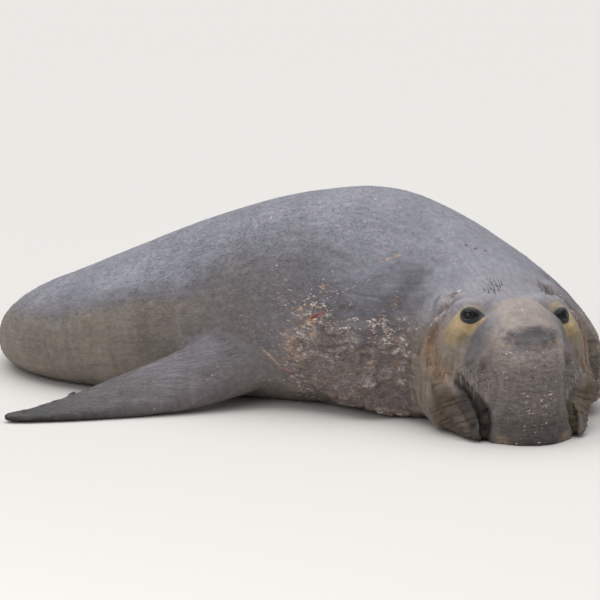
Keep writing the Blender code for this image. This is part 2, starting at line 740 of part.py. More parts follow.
def all_cutters(eyes):
    made = [slab(point, facing, reach, low, CUT_HEIGHT) for point, facing, reach, low in TRUNK_CUTS]
    made += [jaw_cutter(), proboscis_cutter(), *tail_cutters()]
    for hand, seat in eyes.items():
        socket = ball("socket", seat, EYE_RADIUS + CUT_GAP, 24, 12)
        made += [fore_cutter(hand), socket, opening_cutter(hand, seat), nostril_cutter(hand)]
    return made


def combine(target, other, operation):
    """One exact Boolean, applied, with the other object removed."""
    boolean = target.modifiers.new("boolean", "BOOLEAN")
    boolean.operation = operation
    boolean.solver = "EXACT"
    boolean.object = other
    apply_modifiers(target)
    bpy.data.objects.remove(other, do_unlink=True)


def connected_pieces(mesh):
    """The separate shells of a bmesh, as lists of faces."""
    left = set(mesh.faces)
    pieces = []
    while left:
        start = left.pop()
        piece, edge = [start], [start]
        while edge:
            face = edge.pop()
            for side in face.edges:
                for other in side.link_faces:
                    if other in left:
                        left.remove(other)
                        piece.append(other)
                        edge.append(other)
        pieces.append(piece)
    return pieces


def piece_object(name, faces):
    """A new object made of some of the faces of a bmesh."""
    mesh = bmesh.new()
    made = {}
    for face in faces:
        corners = []
        for v in face.verts:
            if v not in made:
                made[v] = mesh.verts.new(v.co)
            corners.append(made[v])
        mesh.faces.new(corners)
    return new_object(name, mesh, turn_outwards=False)


def enclosed(faces):
    """Volume and middle of a closed shell."""
    volume, middle = 0.0, Vector()
    for face in faces:
        first = face.verts[0].co
        for second, third in zip(face.verts[1:-1], face.verts[2:]):
            part = first.dot(second.co.cross(third.co)) / 6
            volume += part
            middle += (first + second.co + third.co) * (part / 4)
    return volume, middle / volume if abs(volume) > 1e-12 else middle


def drop_doubled_faces(mesh):
    """Removes pairs of faces that lie back to back on the same corners."""
    seen = {}
    for face in mesh.faces:
        seen.setdefault(frozenset(v.index for v in face.verts), []).append(face)
    doubled = [face for faces in seen.values() if len(faces) > 1 for face in faces]
    bmesh.ops.delete(mesh, geom=doubled, context="FACES_ONLY")


def large_pieces(source):
    """Every shell of some size: its faces, its volume and its middle, the largest first."""
    found = []
    for faces in connected_pieces(source):
        volume, middle = enclosed(faces)
        if volume > SMALLEST_PIECE:
            found.append((volume, faces, middle))
    return sorted(found, key=lambda piece: -piece[0])


def part_into_nodes(flesh):
    """Names each large shell by the nearest seed and drops the scraps."""
    mesh = bmesh.new()
    mesh.from_mesh(flesh.data)
    drop_doubled_faces(mesh)
    made = {}
    for volume, faces, middle in large_pieces(mesh):
        name = min(NODE_SEEDS, key=lambda n: (Vector(NODE_SEEDS[n]) - middle).length)
        if name not in made:
            made[name] = piece_object(name, faces)
    mesh.free()
    bpy.data.objects.remove(flesh, do_unlink=True)
    return made


def claw(name, root, direction):
    """A short blunt nail, a cone of six sides."""
    mesh = bmesh.new()
    turn = direction.to_track_quat("Z", "Y").to_matrix().to_4x4()
    place = Matrix.Translation(root + direction * (CLAW_LENGTH * 0.2)) @ turn
    bmesh.ops.create_cone(
        mesh,
        cap_ends=True,
        segments=8,
        radius1=CLAW_RADIUS,
        radius2=CLAW_RADIUS * 0.35,
        depth=CLAW_LENGTH,
        matrix=place,
    )
    return new_object(name, mesh)


def add_claws(node, hand):
    """One nail at the end of each digit, from the tip back along the rear edge."""
    stations = fore_flipper_line(hand)
    for k in range(DIGITS):
        place = len(stations) - 2 - int(k * 2.6)
        share = 0.15 + 0.17 * k
        centre, chord, thick, half_chord, half_thick = stations[place]
        upward = thick if thick.z > 0 else -thick
        along = (stations[place][0] - stations[place - 1][0]).normalized()
        root = centre + chord * (half_chord * share) + upward * (half_thick * 0.75)
        direction = (along + chord * (0.08 + 0.06 * k) + upward * 0.06).normalized()
        combine(node, claw("claw", root, direction), "UNION")


def material(name, colour):
    made = bpy.data.materials.new(name)
    made.use_nodes = True
    shader = made.node_tree.nodes["Principled BSDF"]
    shader.inputs["Base Color"].default_value = (*colour[:3], 1.0)
    shader.inputs["Roughness"].default_value = colour[3]
    shader.inputs["Metallic"].default_value = 0.0
    return made


def node_colour(name):
    if name.startswith("eye"):
        return EYE_BLACK
    if "flipper" in name:
        return FLIPPER_GREY
    if name in ("hips", "lower_jaw", "tail"):
        return SKIN_BROWN
    return NOSE_GREY if name == "proboscis" else SKIN_GREY


def finish(nodes):
    """Moves every node so that the origin is in the middle of the footprint, and gives it its material."""
    points = np.vstack([coordinates(node.data) for node in nodes.values()])
    middle = (points.min(axis=0) + points.max(axis=0)) / 2
    shift = np.array([-middle[0], -middle[1], 0.0])
    for name, node in nodes.items():
        node.name = name
        set_coordinates(node.data, coordinates(node.data) + shift)
        node.data.materials.clear()
        node.data.materials.append(material(name + "_material", node_colour(name)))
        node.data.shade_smooth()
        node.data.set_sharp_from_angle(angle=SHARP_ANGLE)


def build():
    clear_scene()
    flesh, eyes = build_flesh()
    for cutter in all_cutters(eyes):
        combine(flesh, cutter, "DIFFERENCE")
    nodes = part_into_nodes(flesh)
    for hand, side in ((1, "left"), (-1, "right")):
        add_claws(nodes["fore_flipper_" + side], hand)
        nodes["eye_" + side] = ball("eye", eyes[hand], EYE_RADIUS, 20, 12)
    finish(nodes)


build()
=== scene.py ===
"""The looks of the northern elephant seal: a young bull lying on the floor of a plain studio.

Lengths are metres, +Z is up and the floor is z = 0. The head faces -Y and the trunk turns away towards +Y.
One skin is made from the frame's nodes of flesh, made finer at the head, given its folds and wrinkles by
functions of place, and painted into colour attributes that its fur and its flakes share.
"""

import json
import math
from itertools import product

import bmesh
import bpy
import numpy as np
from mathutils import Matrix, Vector
from mathutils.bvhtree import BVHTree

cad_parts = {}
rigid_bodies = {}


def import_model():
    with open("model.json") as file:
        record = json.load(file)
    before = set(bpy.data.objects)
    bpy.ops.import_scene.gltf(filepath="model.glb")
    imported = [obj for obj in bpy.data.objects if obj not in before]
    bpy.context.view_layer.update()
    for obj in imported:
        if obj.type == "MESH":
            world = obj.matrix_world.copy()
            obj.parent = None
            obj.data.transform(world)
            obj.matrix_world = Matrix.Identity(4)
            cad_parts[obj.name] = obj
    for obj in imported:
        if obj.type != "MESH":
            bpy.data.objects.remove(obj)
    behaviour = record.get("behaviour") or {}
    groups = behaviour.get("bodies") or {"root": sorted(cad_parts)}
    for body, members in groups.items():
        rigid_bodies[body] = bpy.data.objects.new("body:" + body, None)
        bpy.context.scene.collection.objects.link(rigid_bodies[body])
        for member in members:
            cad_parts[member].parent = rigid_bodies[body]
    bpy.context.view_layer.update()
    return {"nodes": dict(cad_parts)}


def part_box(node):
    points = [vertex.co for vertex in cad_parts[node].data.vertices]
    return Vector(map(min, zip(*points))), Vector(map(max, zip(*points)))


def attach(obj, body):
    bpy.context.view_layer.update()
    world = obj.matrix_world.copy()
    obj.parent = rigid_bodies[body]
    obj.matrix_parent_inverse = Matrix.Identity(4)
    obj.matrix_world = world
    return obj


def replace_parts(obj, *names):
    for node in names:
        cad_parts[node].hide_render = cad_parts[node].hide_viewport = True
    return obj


FLESH = (
    "head", "proboscis", "lower_jaw", "neck", "chest", "loin", "hips", "tail",
    "fore_flipper_left", "fore_flipper_right", "hind_flipper_left", "hind_flipper_right",
)
HANDS = ((1, "left"), (-1, "right"))

# The camera looks along +Y and down from far away, as the photo does
CAMERA_AIM = (0.0077, -1.6362, 0.0)
CAMERA_DISTANCE = 20.0
CAMERA_DROP = math.radians(10.0)
METRES_PER_PIXEL = 0.0034
AIM_BELOW_MIDDLE = 145
PICTURE_WIDTH = 600
SENSOR_WIDTH = 36.0

# The head's own axes are forward, left and up from this point on the floor
HEAD_POINT = np.array((0.7312, -1.3362, 0.0))
HEAD_YAW = math.radians(15.5)
FORWARD = np.array((math.sin(HEAD_YAW), -math.cos(HEAD_YAW), 0.0))
LEFT = np.array((math.cos(HEAD_YAW), math.sin(HEAD_YAW), 0.0))
UP = np.array((0.0, 0.0, 1.0))

# The skin's net: its first size, and how far the skin lies under the solids to leave room for the coat
NET_SIZE = 0.0115
COAT_DEPTH = 0.0020
FLOOR_GAP = 0.0006
NODE_SWELL = 0.0004
BODY_STEPS, THROAT_STEPS = 26, 30

# The line of the trunk from the muzzle to the tail, x and y and the height of its middle
TRUNK_LINE = (
    (0.780, -1.530, 0.22), (0.731, -1.336, 0.24), (0.680, -1.096, 0.27), (0.608, -0.946, 0.29),
    (0.468, -0.801, 0.32), (0.278, -0.666, 0.34), (0.028, -0.551, 0.33), (-0.252, -0.476, 0.29),
    (-0.532, -0.391, 0.23), (-0.736, -0.221, 0.17), (-0.792, 0.054, 0.12), (-0.750, 0.354, 0.11),
    (-0.664, 0.654, 0.10), (-0.548, 0.934, 0.09), (-0.462, 1.109, 0.09), (-0.422, 1.194, 0.10),
)
# Lines of the flippers from root to tip
FORE_RIGHT = (
    (-0.012, -0.796, 0.260), (-0.192, -0.911, 0.175), (-0.412, -1.018, 0.100), (-0.612, -1.088, 0.060),
    (-0.792, -1.160, 0.031), (-0.942, -1.218, 0.020), (-1.022, -1.244, 0.016),
)
FORE_LEFT = (
    (0.176, -0.348, 0.260), (0.132, -0.139, 0.175), (0.054, 0.093, 0.100), (-0.036, 0.285, 0.060),
    (-0.111, 0.464, 0.031), (-0.174, 0.611, 0.020), (-0.212, 0.687, 0.016),
)
HIND_RIGHT = (
    (-0.533, 0.965, 0.056), (-0.505, 1.130, 0.056), (-0.461, 1.273, 0.049), (-0.417, 1.416, 0.043),
    (-0.373, 1.560, 0.036), (-0.353, 1.626, 0.033),
)
HIND_LEFT = (
    (-0.533, 0.965, 0.056), (-0.419, 1.088, 0.056), (-0.333, 1.210, 0.049), (-0.247, 1.333, 0.043),
    (-0.161, 1.456, 0.036), (-0.120, 1.513, 0.033),
)
FLIPPERS = tuple(np.array(line) for line in (FORE_RIGHT, FORE_LEFT, HIND_RIGHT, HIND_LEFT))
FLIPPER_REACHES = (0.16, 0.16, 0.20, 0.20)


def clear_scene():
    for old in list(bpy.data.objects):
        bpy.data.objects.remove(old, do_unlink=True)


def link(name, data):
    made = bpy.data.objects.new(name, data)
    bpy.context.scene.collection.objects.link(made)
    return made


# Meshes as arrays


def rows_of(items, name, width, kind=float):
    """One property of many vertices, edges or triangles, with a row for each."""
    values = np.empty(len(items) * width, kind)
    items.foreach_get(name, values)
    return values.reshape(-1, width)


def coordinates(mesh):
    return rows_of(mesh.vertices, "co", 3)


def normals(mesh):
    return rows_of(mesh.vertices, "normal", 3)


def set_coordinates(mesh, values):
    mesh.vertices.foreach_set("co", values.ravel())
    mesh.update()


def neighbour_mean(values, edges):
    """Mean of the neighbours of every vertex."""
    a, b = edges[:, 0], edges[:, 1]
    count = len(values)
    degree = np.bincount(a, minlength=count) + np.bincount(b, minlength=count)
    total = np.empty_like(values)
    for k in range(values.shape[1]):
        total[:, k] = np.bincount(a, values[b, k], count) + np.bincount(b, values[a, k], count)
    return total / np.maximum(degree, 1)[:, None]


def smooth(mesh, steps, weight=1.0, keep=True):
    """Smooths the mesh. With keep, each step then swells it back so that it holds its size."""
    points = coordinates(mesh)
    edges = rows_of(mesh.edges, "vertices", 2, np.int64)
    weight = np.broadcast_to(np.asarray(weight, float), (len(points),))[:, None]
    for _ in range(steps):
        points = points + (neighbour_mean(points, edges) - points) * (0.5 * weight)
        if keep:
            points = points - (neighbour_mean(points, edges) - points) * (0.51 * weight)
    set_coordinates(mesh, points)


def apply_modifiers(target):
    bpy.context.view_layer.update()
    graph = bpy.context.evaluated_depsgraph_get()
    mesh = bpy.data.meshes.new_from_object(target.evaluated_get(graph))
    target.modifiers.clear()
    target.data = mesh


def ramp(values, low, high):
    """0 below low, 1 above high, and smooth between."""
    t = np.clip((values - low) / (high - low), 0, 1)
    return t * t * (3 - 2 * t)


def unit(rows):
    return rows / np.linalg.norm(rows, axis=1)[:, None]


def dot(a, b):
    """The dot product of each row of one array with the same row of the other."""
    return np.einsum("ij,ij->i", a, b)


# Noise


def lattice(cells, seed):
    """A number from 0 to 1 for every whole-number place."""
    mixed = cells[:, 0] * 73856093 ^ cells[:, 1] * 19349663 ^ cells[:, 2] * 83492791 ^ (seed + 1) * 97531
    mixed = ((mixed ^ (mixed >> 13)) * 1274126177) & 0x7FFFFFFF
    mixed = ((mixed ^ (mixed >> 16)) * 668265263) & 0x7FFFFFFF
    return ((mixed >> 7) & 0xFFFF) / 0xFFFF


def noise(points, size, seed=0):
    """Smooth noise from -1 to 1 with bumps of about that size, a number or one for each axis."""
    scaled = points / np.asarray(size)
    cell = np.floor(scaled).astype(np.int64)
    t = scaled - cell
    t = t * t * (3 - 2 * t)
    total = np.zeros(len(points))
    for corner in product((0, 1), repeat=3):
        weight = np.prod(np.where(corner, t, 1 - t), axis=1)
        total += weight * lattice(cell + np.array(corner), seed)
    return total * 2 - 1


def rough_noise(points, size, seed=0, octaves=3):
    """Smooth noise with smaller and weaker noise on it, about from -1 to 1."""
    total, share = np.zeros(len(points)), 1.0
    for k in range(octaves):
        total += noise(points, np.asarray(size) / 2**k, seed + 17 * k) * share
        share *= 0.5
    return total / (2 - 2 * share)


def noise_shift(points, size, seed):
    """Three numbers of noise for every point, which bend a pattern."""
    return np.column_stack([noise(points, size, seed + k) for k in range(3)])


def pebbles(points, size, seed=0):
    """How far each point is from the border between two cells, 0 at the border and about 1 inside."""
    scaled = points / np.asarray(size)
    cell = np.floor(scaled).astype(np.int64)
    first, second = np.full(len(points), 9.0), np.full(len(points), 9.0)
    for corner in product((-1, 0, 1), repeat=3):
        other = cell + np.array(corner)
        offset = np.column_stack([lattice(other, seed + k) for k in range(3)])
        away = np.linalg.norm(other + offset - scaled, axis=1)
        second = np.minimum(second, np.maximum(first, away))
        first = np.minimum(first, away)
    return np.clip((second - first) * 1.6, 0, 1)


# Places


def head_axes_of(points):
    """Places in the head's axes: forward, left and up."""
    offset = points - HEAD_POINT
    return np.column_stack([offset @ FORWARD, offset @ LEFT, points[:, 2]])


def head_place(forward, left, up):
    return HEAD_POINT + FORWARD * forward + LEFT * left + UP * up


def smooth_line(knots, steps=16):
    """A smooth curve through the knots."""
    knots = np.array(knots, float)
    padded = np.vstack([2 * knots[0] - knots[1], knots, 2 * knots[-1] - knots[-2]])
    made = []
    for a, b, c, d in zip(padded, padded[1:], padded[2:], padded[3:]):
        for t in np.linspace(0, 1, steps, endpoint=False):
            curve = 2 * b + (c - a) * t + (2 * a - 5 * b + 4 * c - d) * t**2
            made.append(0.5 * (curve + (3 * b - a - 3 * c + d) * t**3))
    return np.array([*made, knots[-1]])


def along_line(points, line):
    """For every point: its distance to the line, how far along it lies, and the line's direction there."""
    nearest, run = np.full(len(points), 1e9), np.zeros(len(points))
    heading, start = np.zeros((len(points), 3)), 0.0
    for a, b in zip(line[:-1], line[1:]):
        length = np.linalg.norm(b - a)
        t = np.clip(((points - a) @ (b - a)) / max(length**2, 1e-12), 0, 1)
        away = np.linalg.norm(points - a - t[:, None] * (b - a), axis=1)
        closer = away < nearest
        nearest[closer], run[closer] = away[closer], start + t[closer] * length
        heading[closer] = (b - a) / length
        start += length
    return nearest, run, heading


def run_of(line):
    """How far along the line each of its knots lies."""
    return np.concatenate([[0], np.cumsum(np.linalg.norm(np.diff(line, axis=0), axis=1))])


def length_of(line):
    return np.linalg.norm(np.diff(line, axis=0), axis=1).sum()


def place_on(line, run):
    """The places at some runs along the line."""
    return np.column_stack([np.interp(run, run_of(line), line[:, k]) for k in range(3)])


# The skin


def weld(mesh):
    b = bmesh.new()
    b.from_mesh(mesh)
    bmesh.ops.remove_doubles(b, verts=b.verts, dist=0.00001)
    b.to_mesh(mesh)
    b.free()


def joined_flesh(nodes):
    """One closed net over all the flesh and the eyes, with no cuts in it."""
    joined = bmesh.new()
    for name in (*FLESH, "eye_left", "eye_right"):
        mesh = nodes[name].data.copy()
        weld(mesh)
        set_coordinates(mesh, coordinates(mesh) + normals(mesh) * NODE_SWELL)
        joined.from_mesh(mesh)
        bpy.data.meshes.remove(mesh)
    mesh = bpy.data.meshes.new("skin")
    joined.to_mesh(mesh)
    joined.free()
    skin = link("skin", mesh)
    remesh = skin.modifiers.new("remesh", "REMESH")
    remesh.mode = "VOXEL"
    remesh.voxel_size = NET_SIZE
    apply_modifiers(skin)
    return skin


def refine(mesh, chosen):
    """Cuts every edge between chosen vertices in two, and evens out the new net."""
    b = bmesh.new()
    b.from_mesh(mesh)
    b.verts.ensure_lookup_table()
    edges = [e for e in b.edges if chosen[e.verts[0].index] and chosen[e.verts[1].index]]
    bmesh.ops.subdivide_edges(b, edges=edges, cuts=1, use_grid_fill=True)
    b.to_mesh(mesh)
    b.free()
    mesh.update()


def press(skin, path, radius, height):
    """Raises or lowers the skin along a path on it, fading out at the radius."""
    mesh = skin.data
    line = np.array([skin.closest_point_on_mesh(Vector(p))[1] for p in smooth_line(path, 6)])
    points = coordinates(mesh)
    low, high = line.min(axis=0) - radius, line.max(axis=0) + radius
    near = np.nonzero(np.all((points > low) & (points < high), axis=1))[0]
    away = along_line(points[near], line)[0]
    weight = np.clip(1 - (away / radius) ** 2, 0, 1) ** 2
    points[near] += normals(mesh)[near] * (height * weight)[:, None]
    set_coordinates(mesh, points)


# Folds of the head in its own axes, from end to end, each with its twin on the other side.
# The radius and the height come before the path, and a negative height is a groove
HEAD_FOLDS = (
    ("face_fold", 0.022, -0.009, (
        (-0.125, 0.175, 0.455), (-0.070, 0.215, 0.415), (-0.034, 0.245, 0.375), (-0.030, 0.266, 0.333),
        (-0.028, 0.282, 0.282), (-0.005, 0.283, 0.236), (0.045, 0.275, 0.200),
    )),
    ("face_fold_rim", 0.045, 0.010, (
        (-0.160, 0.200, 0.450), (-0.090, 0.245, 0.400), (-0.060, 0.275, 0.333), (-0.060, 0.300, 0.270),
        (-0.040, 0.305, 0.210),
    )),
    ("brow", 0.050, 0.008, ((-0.010, 0.185, 0.440), (0.015, 0.140, 0.455), (0.030, 0.095, 0.460))),
    ("bridge_crease", 0.030, -0.004, (
        (0.058, 0.078, 0.448), (0.066, 0.104, 0.430), (0.072, 0.135, 0.405), (0.080, 0.160, 0.372),
    )),
    ("muzzle_crease", 0.036, -0.010, (
        (0.070, 0.150, 0.385), (0.080, 0.186, 0.325), (0.088, 0.205, 0.280), (0.088, 0.222, 0.240),
        (0.080, 0.232, 0.215),
    )),
    ("muzzle_side", 0.060, 0.008, ((0.105, 0.130, 0.385), (0.130, 0.152, 0.325), (0.140, 0.165, 0.270))),
    ("nose_waist", 0.050, -0.007, ((0.235, 0.128, 0.215), (0.240, 0.130, 0.170), (0.240, 0.134, 0.130))),
    ("nose_crease", 0.028, -0.013, (
        (0.186, 0.146, 0.270), (0.205, 0.140, 0.235), (0.225, 0.137, 0.205), (0.222, 0.142, 0.165),
        (0.213, 0.146, 0.112), (0.214, 0.150, 0.060), (0.230, 0.152, 0.015),
    )),
    ("nose_pit", 0.016, -0.007, ((0.225, 0.136, 0.222), (0.232, 0.134, 0.196))),
    ("upper_lip", 0.030, 0.012, (
        (0.105, 0.222, 0.238), (0.140, 0.200, 0.206), (0.178, 0.172, 0.172), (0.212, 0.150, 0.135),
    )),
    ("mouth_corner", 0.020, -0.006, ((0.058, 0.246, 0.238), (0.080, 0.236, 0.222), (0.104, 0.222, 0.202))),
    ("mouth", 0.026, -0.020, (
        (0.108, 0.218, 0.198), (0.130, 0.204, 0.178), (0.150, 0.190, 0.158), (0.186, 0.168, 0.126),
        (0.214, 0.162, 0.090), (0.230, 0.162, 0.040),
    )),
    ("mouth_slit", 0.013, -0.010, (
        (0.096, 0.222, 0.206), (0.112, 0.205, 0.188), (0.142, 0.184, 0.162), (0.178, 0.162, 0.128),
        (0.206, 0.156, 0.092),
    )),
    ("jaw_crease", 0.024, -0.010, (
        (0.085, 0.245, 0.150), (0.110, 0.232, 0.110), (0.150, 0.205, 0.075), (0.190, 0.180, 0.045),
    )),
    ("throat_rim", 0.034, 0.009, (
        (0.040, 0.290, 0.180), (0.080, 0.277, 0.130), (0.108, 0.256, 0.088), (0.150, 0.240, 0.052),
        (0.215, 0.205, 0.022),
    )),
    ("throat_crease", 0.030, -0.008, (
        (0.000, 0.310, 0.170), (0.040, 0.305, 0.105), (0.080, 0.290, 0.055), (0.120, 0.275, 0.020),
    )),
)

# Forms across the middle of the nose
NOSE_FOLDS = (
    ("nose_corner", 0.050, 0.007, ((0.200, 0.110, 0.350), (0.215, 0.100, 0.330))),
    ("nose_corner_right", 0.050, 0.009, ((0.200, -0.110, 0.350), (0.215, -0.100, 0.330))),
    ("nose_shelf", 0.026, 0.005, ((0.235, 0.085, 0.345), (0.258, 0.0, 0.340), (0.225, -0.095, 0.345))),
    ("boss_crease", 0.024, -0.005, (
        (0.220, 0.100, 0.345), (0.255, 0.055, 0.330), (0.265, 0.0, 0.327), (0.255, -0.055, 0.330),
        (0.220, -0.100, 0.345),
    )),
    ("patch_hollow", 0.038, -0.007, ((0.245, 0.040, 0.372), (0.255, 0.0, 0.372), (0.245, -0.050, 0.372))),
    ("column_round", 0.120, 0.014, (
        (0.270, 0.0, 0.300), (0.285, 0.0, 0.200), (0.296, 0.0, 0.100), (0.300, 0.0, 0.030),
    )),
    ("tip_flare", 0.045, 0.011, (
        (0.262, 0.140, 0.020), (0.296, 0.070, 0.022), (0.303, 0.0, 0.024), (0.296, -0.070, 0.022),
        (0.262, -0.140, 0.020),
    )),
)

# Where the net is made finer: the place in the head's axes and how far from it
FRONT_PLACE, FRONT_REACH = (-0.15, 0.0, 0.22), 0.62
FACE_PLACE, FACE_REACH = (0.10, 0.0, 0.22), 0.36
# It is made finer twice round the eyes and the marks, and smoothed round the eyes
EYE_NETS, EYE_SMOOTH_REACH = (0.056, 0.046), 0.062
MARK_NETS = (0.035, 0.028)

# The left side of the mouth is pressed shut against the nose, so its grooves are shallow and its painted
# shade is weak
LEFT_SHARES = {"mouth_corner": 0.6, "mouth": 0.35, "mouth_slit": 0.3, "jaw_crease": 0.5}
LEFT_MOUTH_SHADE_SHARE = 0.35


def press_all(skin, folds, hands):
    for name, radius, height, path in folds:
        for hand in hands:
            share = LEFT_SHARES.get(name, 1.0) if hand > 0 else 1.0
            press(skin, [head_place(f, l * hand, u) for f, l, u in path], radius, height * share)


def reach_from(mesh, place):
    return np.linalg.norm(head_axes_of(coordinates(mesh)) - place, axis=1)


# How far the trunk's skin lies from its line, for the scale of patterns round it
TRUNK_RADIUS = 0.40

# Eyes: the way they look in the head's axes, and their lids as distances from the edge of the opening
EYE_AXIS = (0.81, 0.50, 0.30)
EYE_RADIUS = 0.0310
EYE_SHIFT = {"right": (0.0, 0.0, 0.008), "left": (-0.002, 0.008, -0.009)}
OPENING_OUTER, OPENING_INNER = 0.0205, 0.0300
OPENING_ABOVE, OPENING_BELOW = 0.0140, 0.0150
LID_STEPS = (-0.0045, 0.0, 0.0030, 0.0065, 0.0110, 0.0150, 0.0400)
LID_HEIGHTS = (-0.0100, 0.0008, 0.0050, 0.0032, 0.0062, 0.0056, 0.0050)
LID_BLEND = (0.012, 0.036)
LID_GAP = 0.002
LID_REACH = 0.09
LID_FRONT = (0.004, 0.012)


def eye_frame(hand):
    """Ahead, towards the nose, and above, as the eye looks."""
    f, l, u = EYE_AXIS
    ahead = FORWARD * f + LEFT * (l * hand) + UP * u
    ahead = ahead / np.linalg.norm(ahead)
    above = UP - ahead * ahead[2]
    above = above / np.linalg.norm(above)
    return ahead, np.cross(above, ahead) * -hand, above


def eye_centre(side):
    low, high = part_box("eye_" + side)
    f, l, u = EYE_SHIFT[side]
    return np.array((low + high) / 2) + FORWARD * f + LEFT * l + UP * u


def almond_distance(x, y, outer, inner, above, below):
    """Distance from the edge of an almond shape with its point towards the nose, below 0 inside it."""
    across = x / np.where(x > 0, inner, outer)
    height = np.where(y > 0, above, below) * (1 - 0.50 * ramp(across, 0.15, 1.0))
    level = np.maximum(np.hypot(across, y / height), 0.05)
    return np.hypot(x, y) * (1 - 1 / level)


def eye_places(points, hand, side):
    """For every point: offset from the eye's middle, and its parts towards the nose, above and ahead."""
    ahead, inward, above = eye_frame(hand)
    offset = points - eye_centre(side)
    return offset, offset @ inward, offset @ above, offset @ ahead


def shape_lids(mesh):
    """Lids as rings of soft skin on a ball, with the opening sunk behind the eye."""
    points = coordinates(mesh)
    for hand, side in HANDS:
        offset, x, y, z = eye_places(points, hand, side)
        away = np.linalg.norm(offset, axis=1)
        near = np.nonzero((away < LID_REACH) & (z > LID_FRONT[0]))[0]
        out = almond_distance(x[near], y[near], OPENING_OUTER, OPENING_INNER, OPENING_ABOVE, OPENING_BELOW)
        wanted = EYE_RADIUS + np.interp(out, LID_STEPS, LID_HEIGHTS)
        share = (1 - ramp(out, *LID_BLEND)) * ramp(z[near], *LID_FRONT)
        moved = away[near] + (wanted - away[near]) * share
        moved = np.where((out > 0.001) & (z[near] > 0.008), np.maximum(moved, EYE_RADIUS + LID_GAP), moved)
        points[near] += offset[near] * (moved / away[near] - 1)[:, None]
    set_coordinates(mesh, points)


NOSE_ROUND = 0.016
NOSE_HALF_WIDTH = 0.10


def round_the_nose(mesh):
    """The hanging nose is round in front, not flat."""
    points = coordinates(mesh)
    f, l, u = head_axes_of(points).T
    share = ramp(f, 0.17, 0.24) * (1 - ramp(u, 0.33, 0.42)) * (np.abs(l) < 0.17)
    move = (NOSE_ROUND * (1 - (l / NOSE_HALF_WIDTH) ** 2) - 0.002) * share
    set_coordinates(mesh, points + FORWARD * np.maximum(move, -NOSE_ROUND)[:, None])


# How strongly each kind of skin shows, from 0 to 1


class Regions:
    """Shares of every kind of skin at some points."""

    def __init__(self, points):
        self.points = points
        self.f, self.l, self.u = head_axes_of(points).T
        self.side = np.abs(self.l)
        self.height = points[:, 2]
        line = smooth_line(TRUNK_LINE, 4)
        self.off_line, self.run, self.heading = along_line(points, line)
        self.head_points = np.column_stack([self.f, self.l, self.u])
        away = np.linalg.norm(self.head_points - (0.05, 0, 0.22), axis=1)
        self.head = ramp(self.f, -0.30, -0.02) * (1 - ramp(away, 0.42, 0.52))

    def nose(self):
        column = ramp(self.f, 0.14, 0.21) * (1 - ramp(self.side, 0.105, 0.165))
        dome = ramp(self.f, 0.03, 0.10) * ramp(self.u, 0.30, 0.36) * (1 - ramp(self.side, 0.06, 0.13))
        return np.maximum(column, dome)

    def shield(self):
        """The calloused skin under and beside the neck."""
        along = ramp(self.run, 0.22, 0.42) * (1 - ramp(self.run, 0.95, 1.35))
        wave = 0.05 * noise(self.points, 0.14, 5)
        return along * (1 - ramp(self.height + wave, 0.16, 0.40))

    def neck(self):
        return ramp(self.run, 0.20, 0.40) * (1 - ramp(self.run, 0.9, 1.5))

    def pad(self):
        """The whisker pads."""
        away = np.column_stack([self.f, self.side, self.u]) - (0.150, 0.180, 0.215)
        return 1 - ramp(np.linalg.norm(away / (0.075, 0.060, 0.065), axis=1), 0.75, 1.25)

    def throat(self):
        """The folded skin between the mouth and the floor."""
        low = 1 - ramp(self.u - 0.55 * (0.16 - self.f), 0.10, 0.16)
        return low * ramp(self.f, -0.02, 0.05) * ramp(self.side, 0.12, 0.15) * (1 - ramp(self.f, 0.21, 0.24))

    def jowl(self):
        low = 1 - ramp(self.u, 0.24, 0.34)
        return low * ramp(self.f, -0.22, -0.10) * (1 - ramp(self.f, 0.06, 0.12)) * ramp(self.side, 0.17, 0.22)


def creases(points, size, seed):
    """Sharp creases between soft swellings, 0 on a swelling and 1 in a crease."""
    return np.clip(1 - 2.6 * np.abs(noise(points, size, seed)), 0, 1)


def nose_wrinkles(r):
    """As for each kind of wrinkle: how far the skin moves along its normal, and how deep the creases are."""
    bend = r.head_points + 0.006 * noise_shift(r.points, 0.035, 40)
    fine = creases(bend, (0.040, 0.036, 0.0085), 11)
    finer = creases(bend, (0.018, 0.016, 0.0050), 12)
    low = 1 - ramp(r.u, 0.30, 0.42)
    height = -0.0011 * fine * (0.15 + 0.85 * low) - 0.0005 * finer + 0.0014 * noise(r.points, 0.03, 13)
    return r.nose() * height, r.nose() * (0.40 * fine + 0.30 * finer) * (0.3 + 0.7 * low)


def pad_wrinkles(r):
    slant = np.column_stack([r.f + 0.9 * r.u, r.side + 0.5 * r.u, r.u - 0.9 * r.f])
    streak = creases(slant, (0.10, 0.06, 0.011), 14)
    return r.pad() * (-0.0022 * streak), r.pad() * 0.7 * streak


def shield_callouses(shield, bend, small):
    broad = creases(bend, (0.16, 0.16, 0.034), 15)
    middle = creases(bend, (0.050, 0.050, 0.017), 16)
    stones = 1 - pebbles(bend, (0.030, 0.030, 0.019), 17)
    height = -0.0075 * broad - 0.0055 * middle - 0.0042 * stones - 0.0020 * small + 0.005
    return shield * height, shield * (0.8 * broad + 0.8 * middle + 0.5 * stones + 0.3 * small)


def neck_rings(r, shield, bend):
    neck = r.neck() * (1 - shield)
    rings = creases(bend, (0.20, 0.20, 0.040), 19)
    low = 1 - ramp(r.height, 0.30, 0.56)
    return neck * (-0.0018 * rings * low), neck * 0.35 * rings * low


def throat_folds(r, small):
    slant = np.column_stack([r.f + r.u, r.side, r.u - 0.6 * r.f])
    folds = creases(slant + 0.01 * noise(r.points, 0.05, 21)[:, None], (0.12, 0.10, 0.017), 20)
    return r.throat() * (-0.0042 * folds - 0.0014 * small), r.throat() * (0.5 * folds + 0.3 * small)


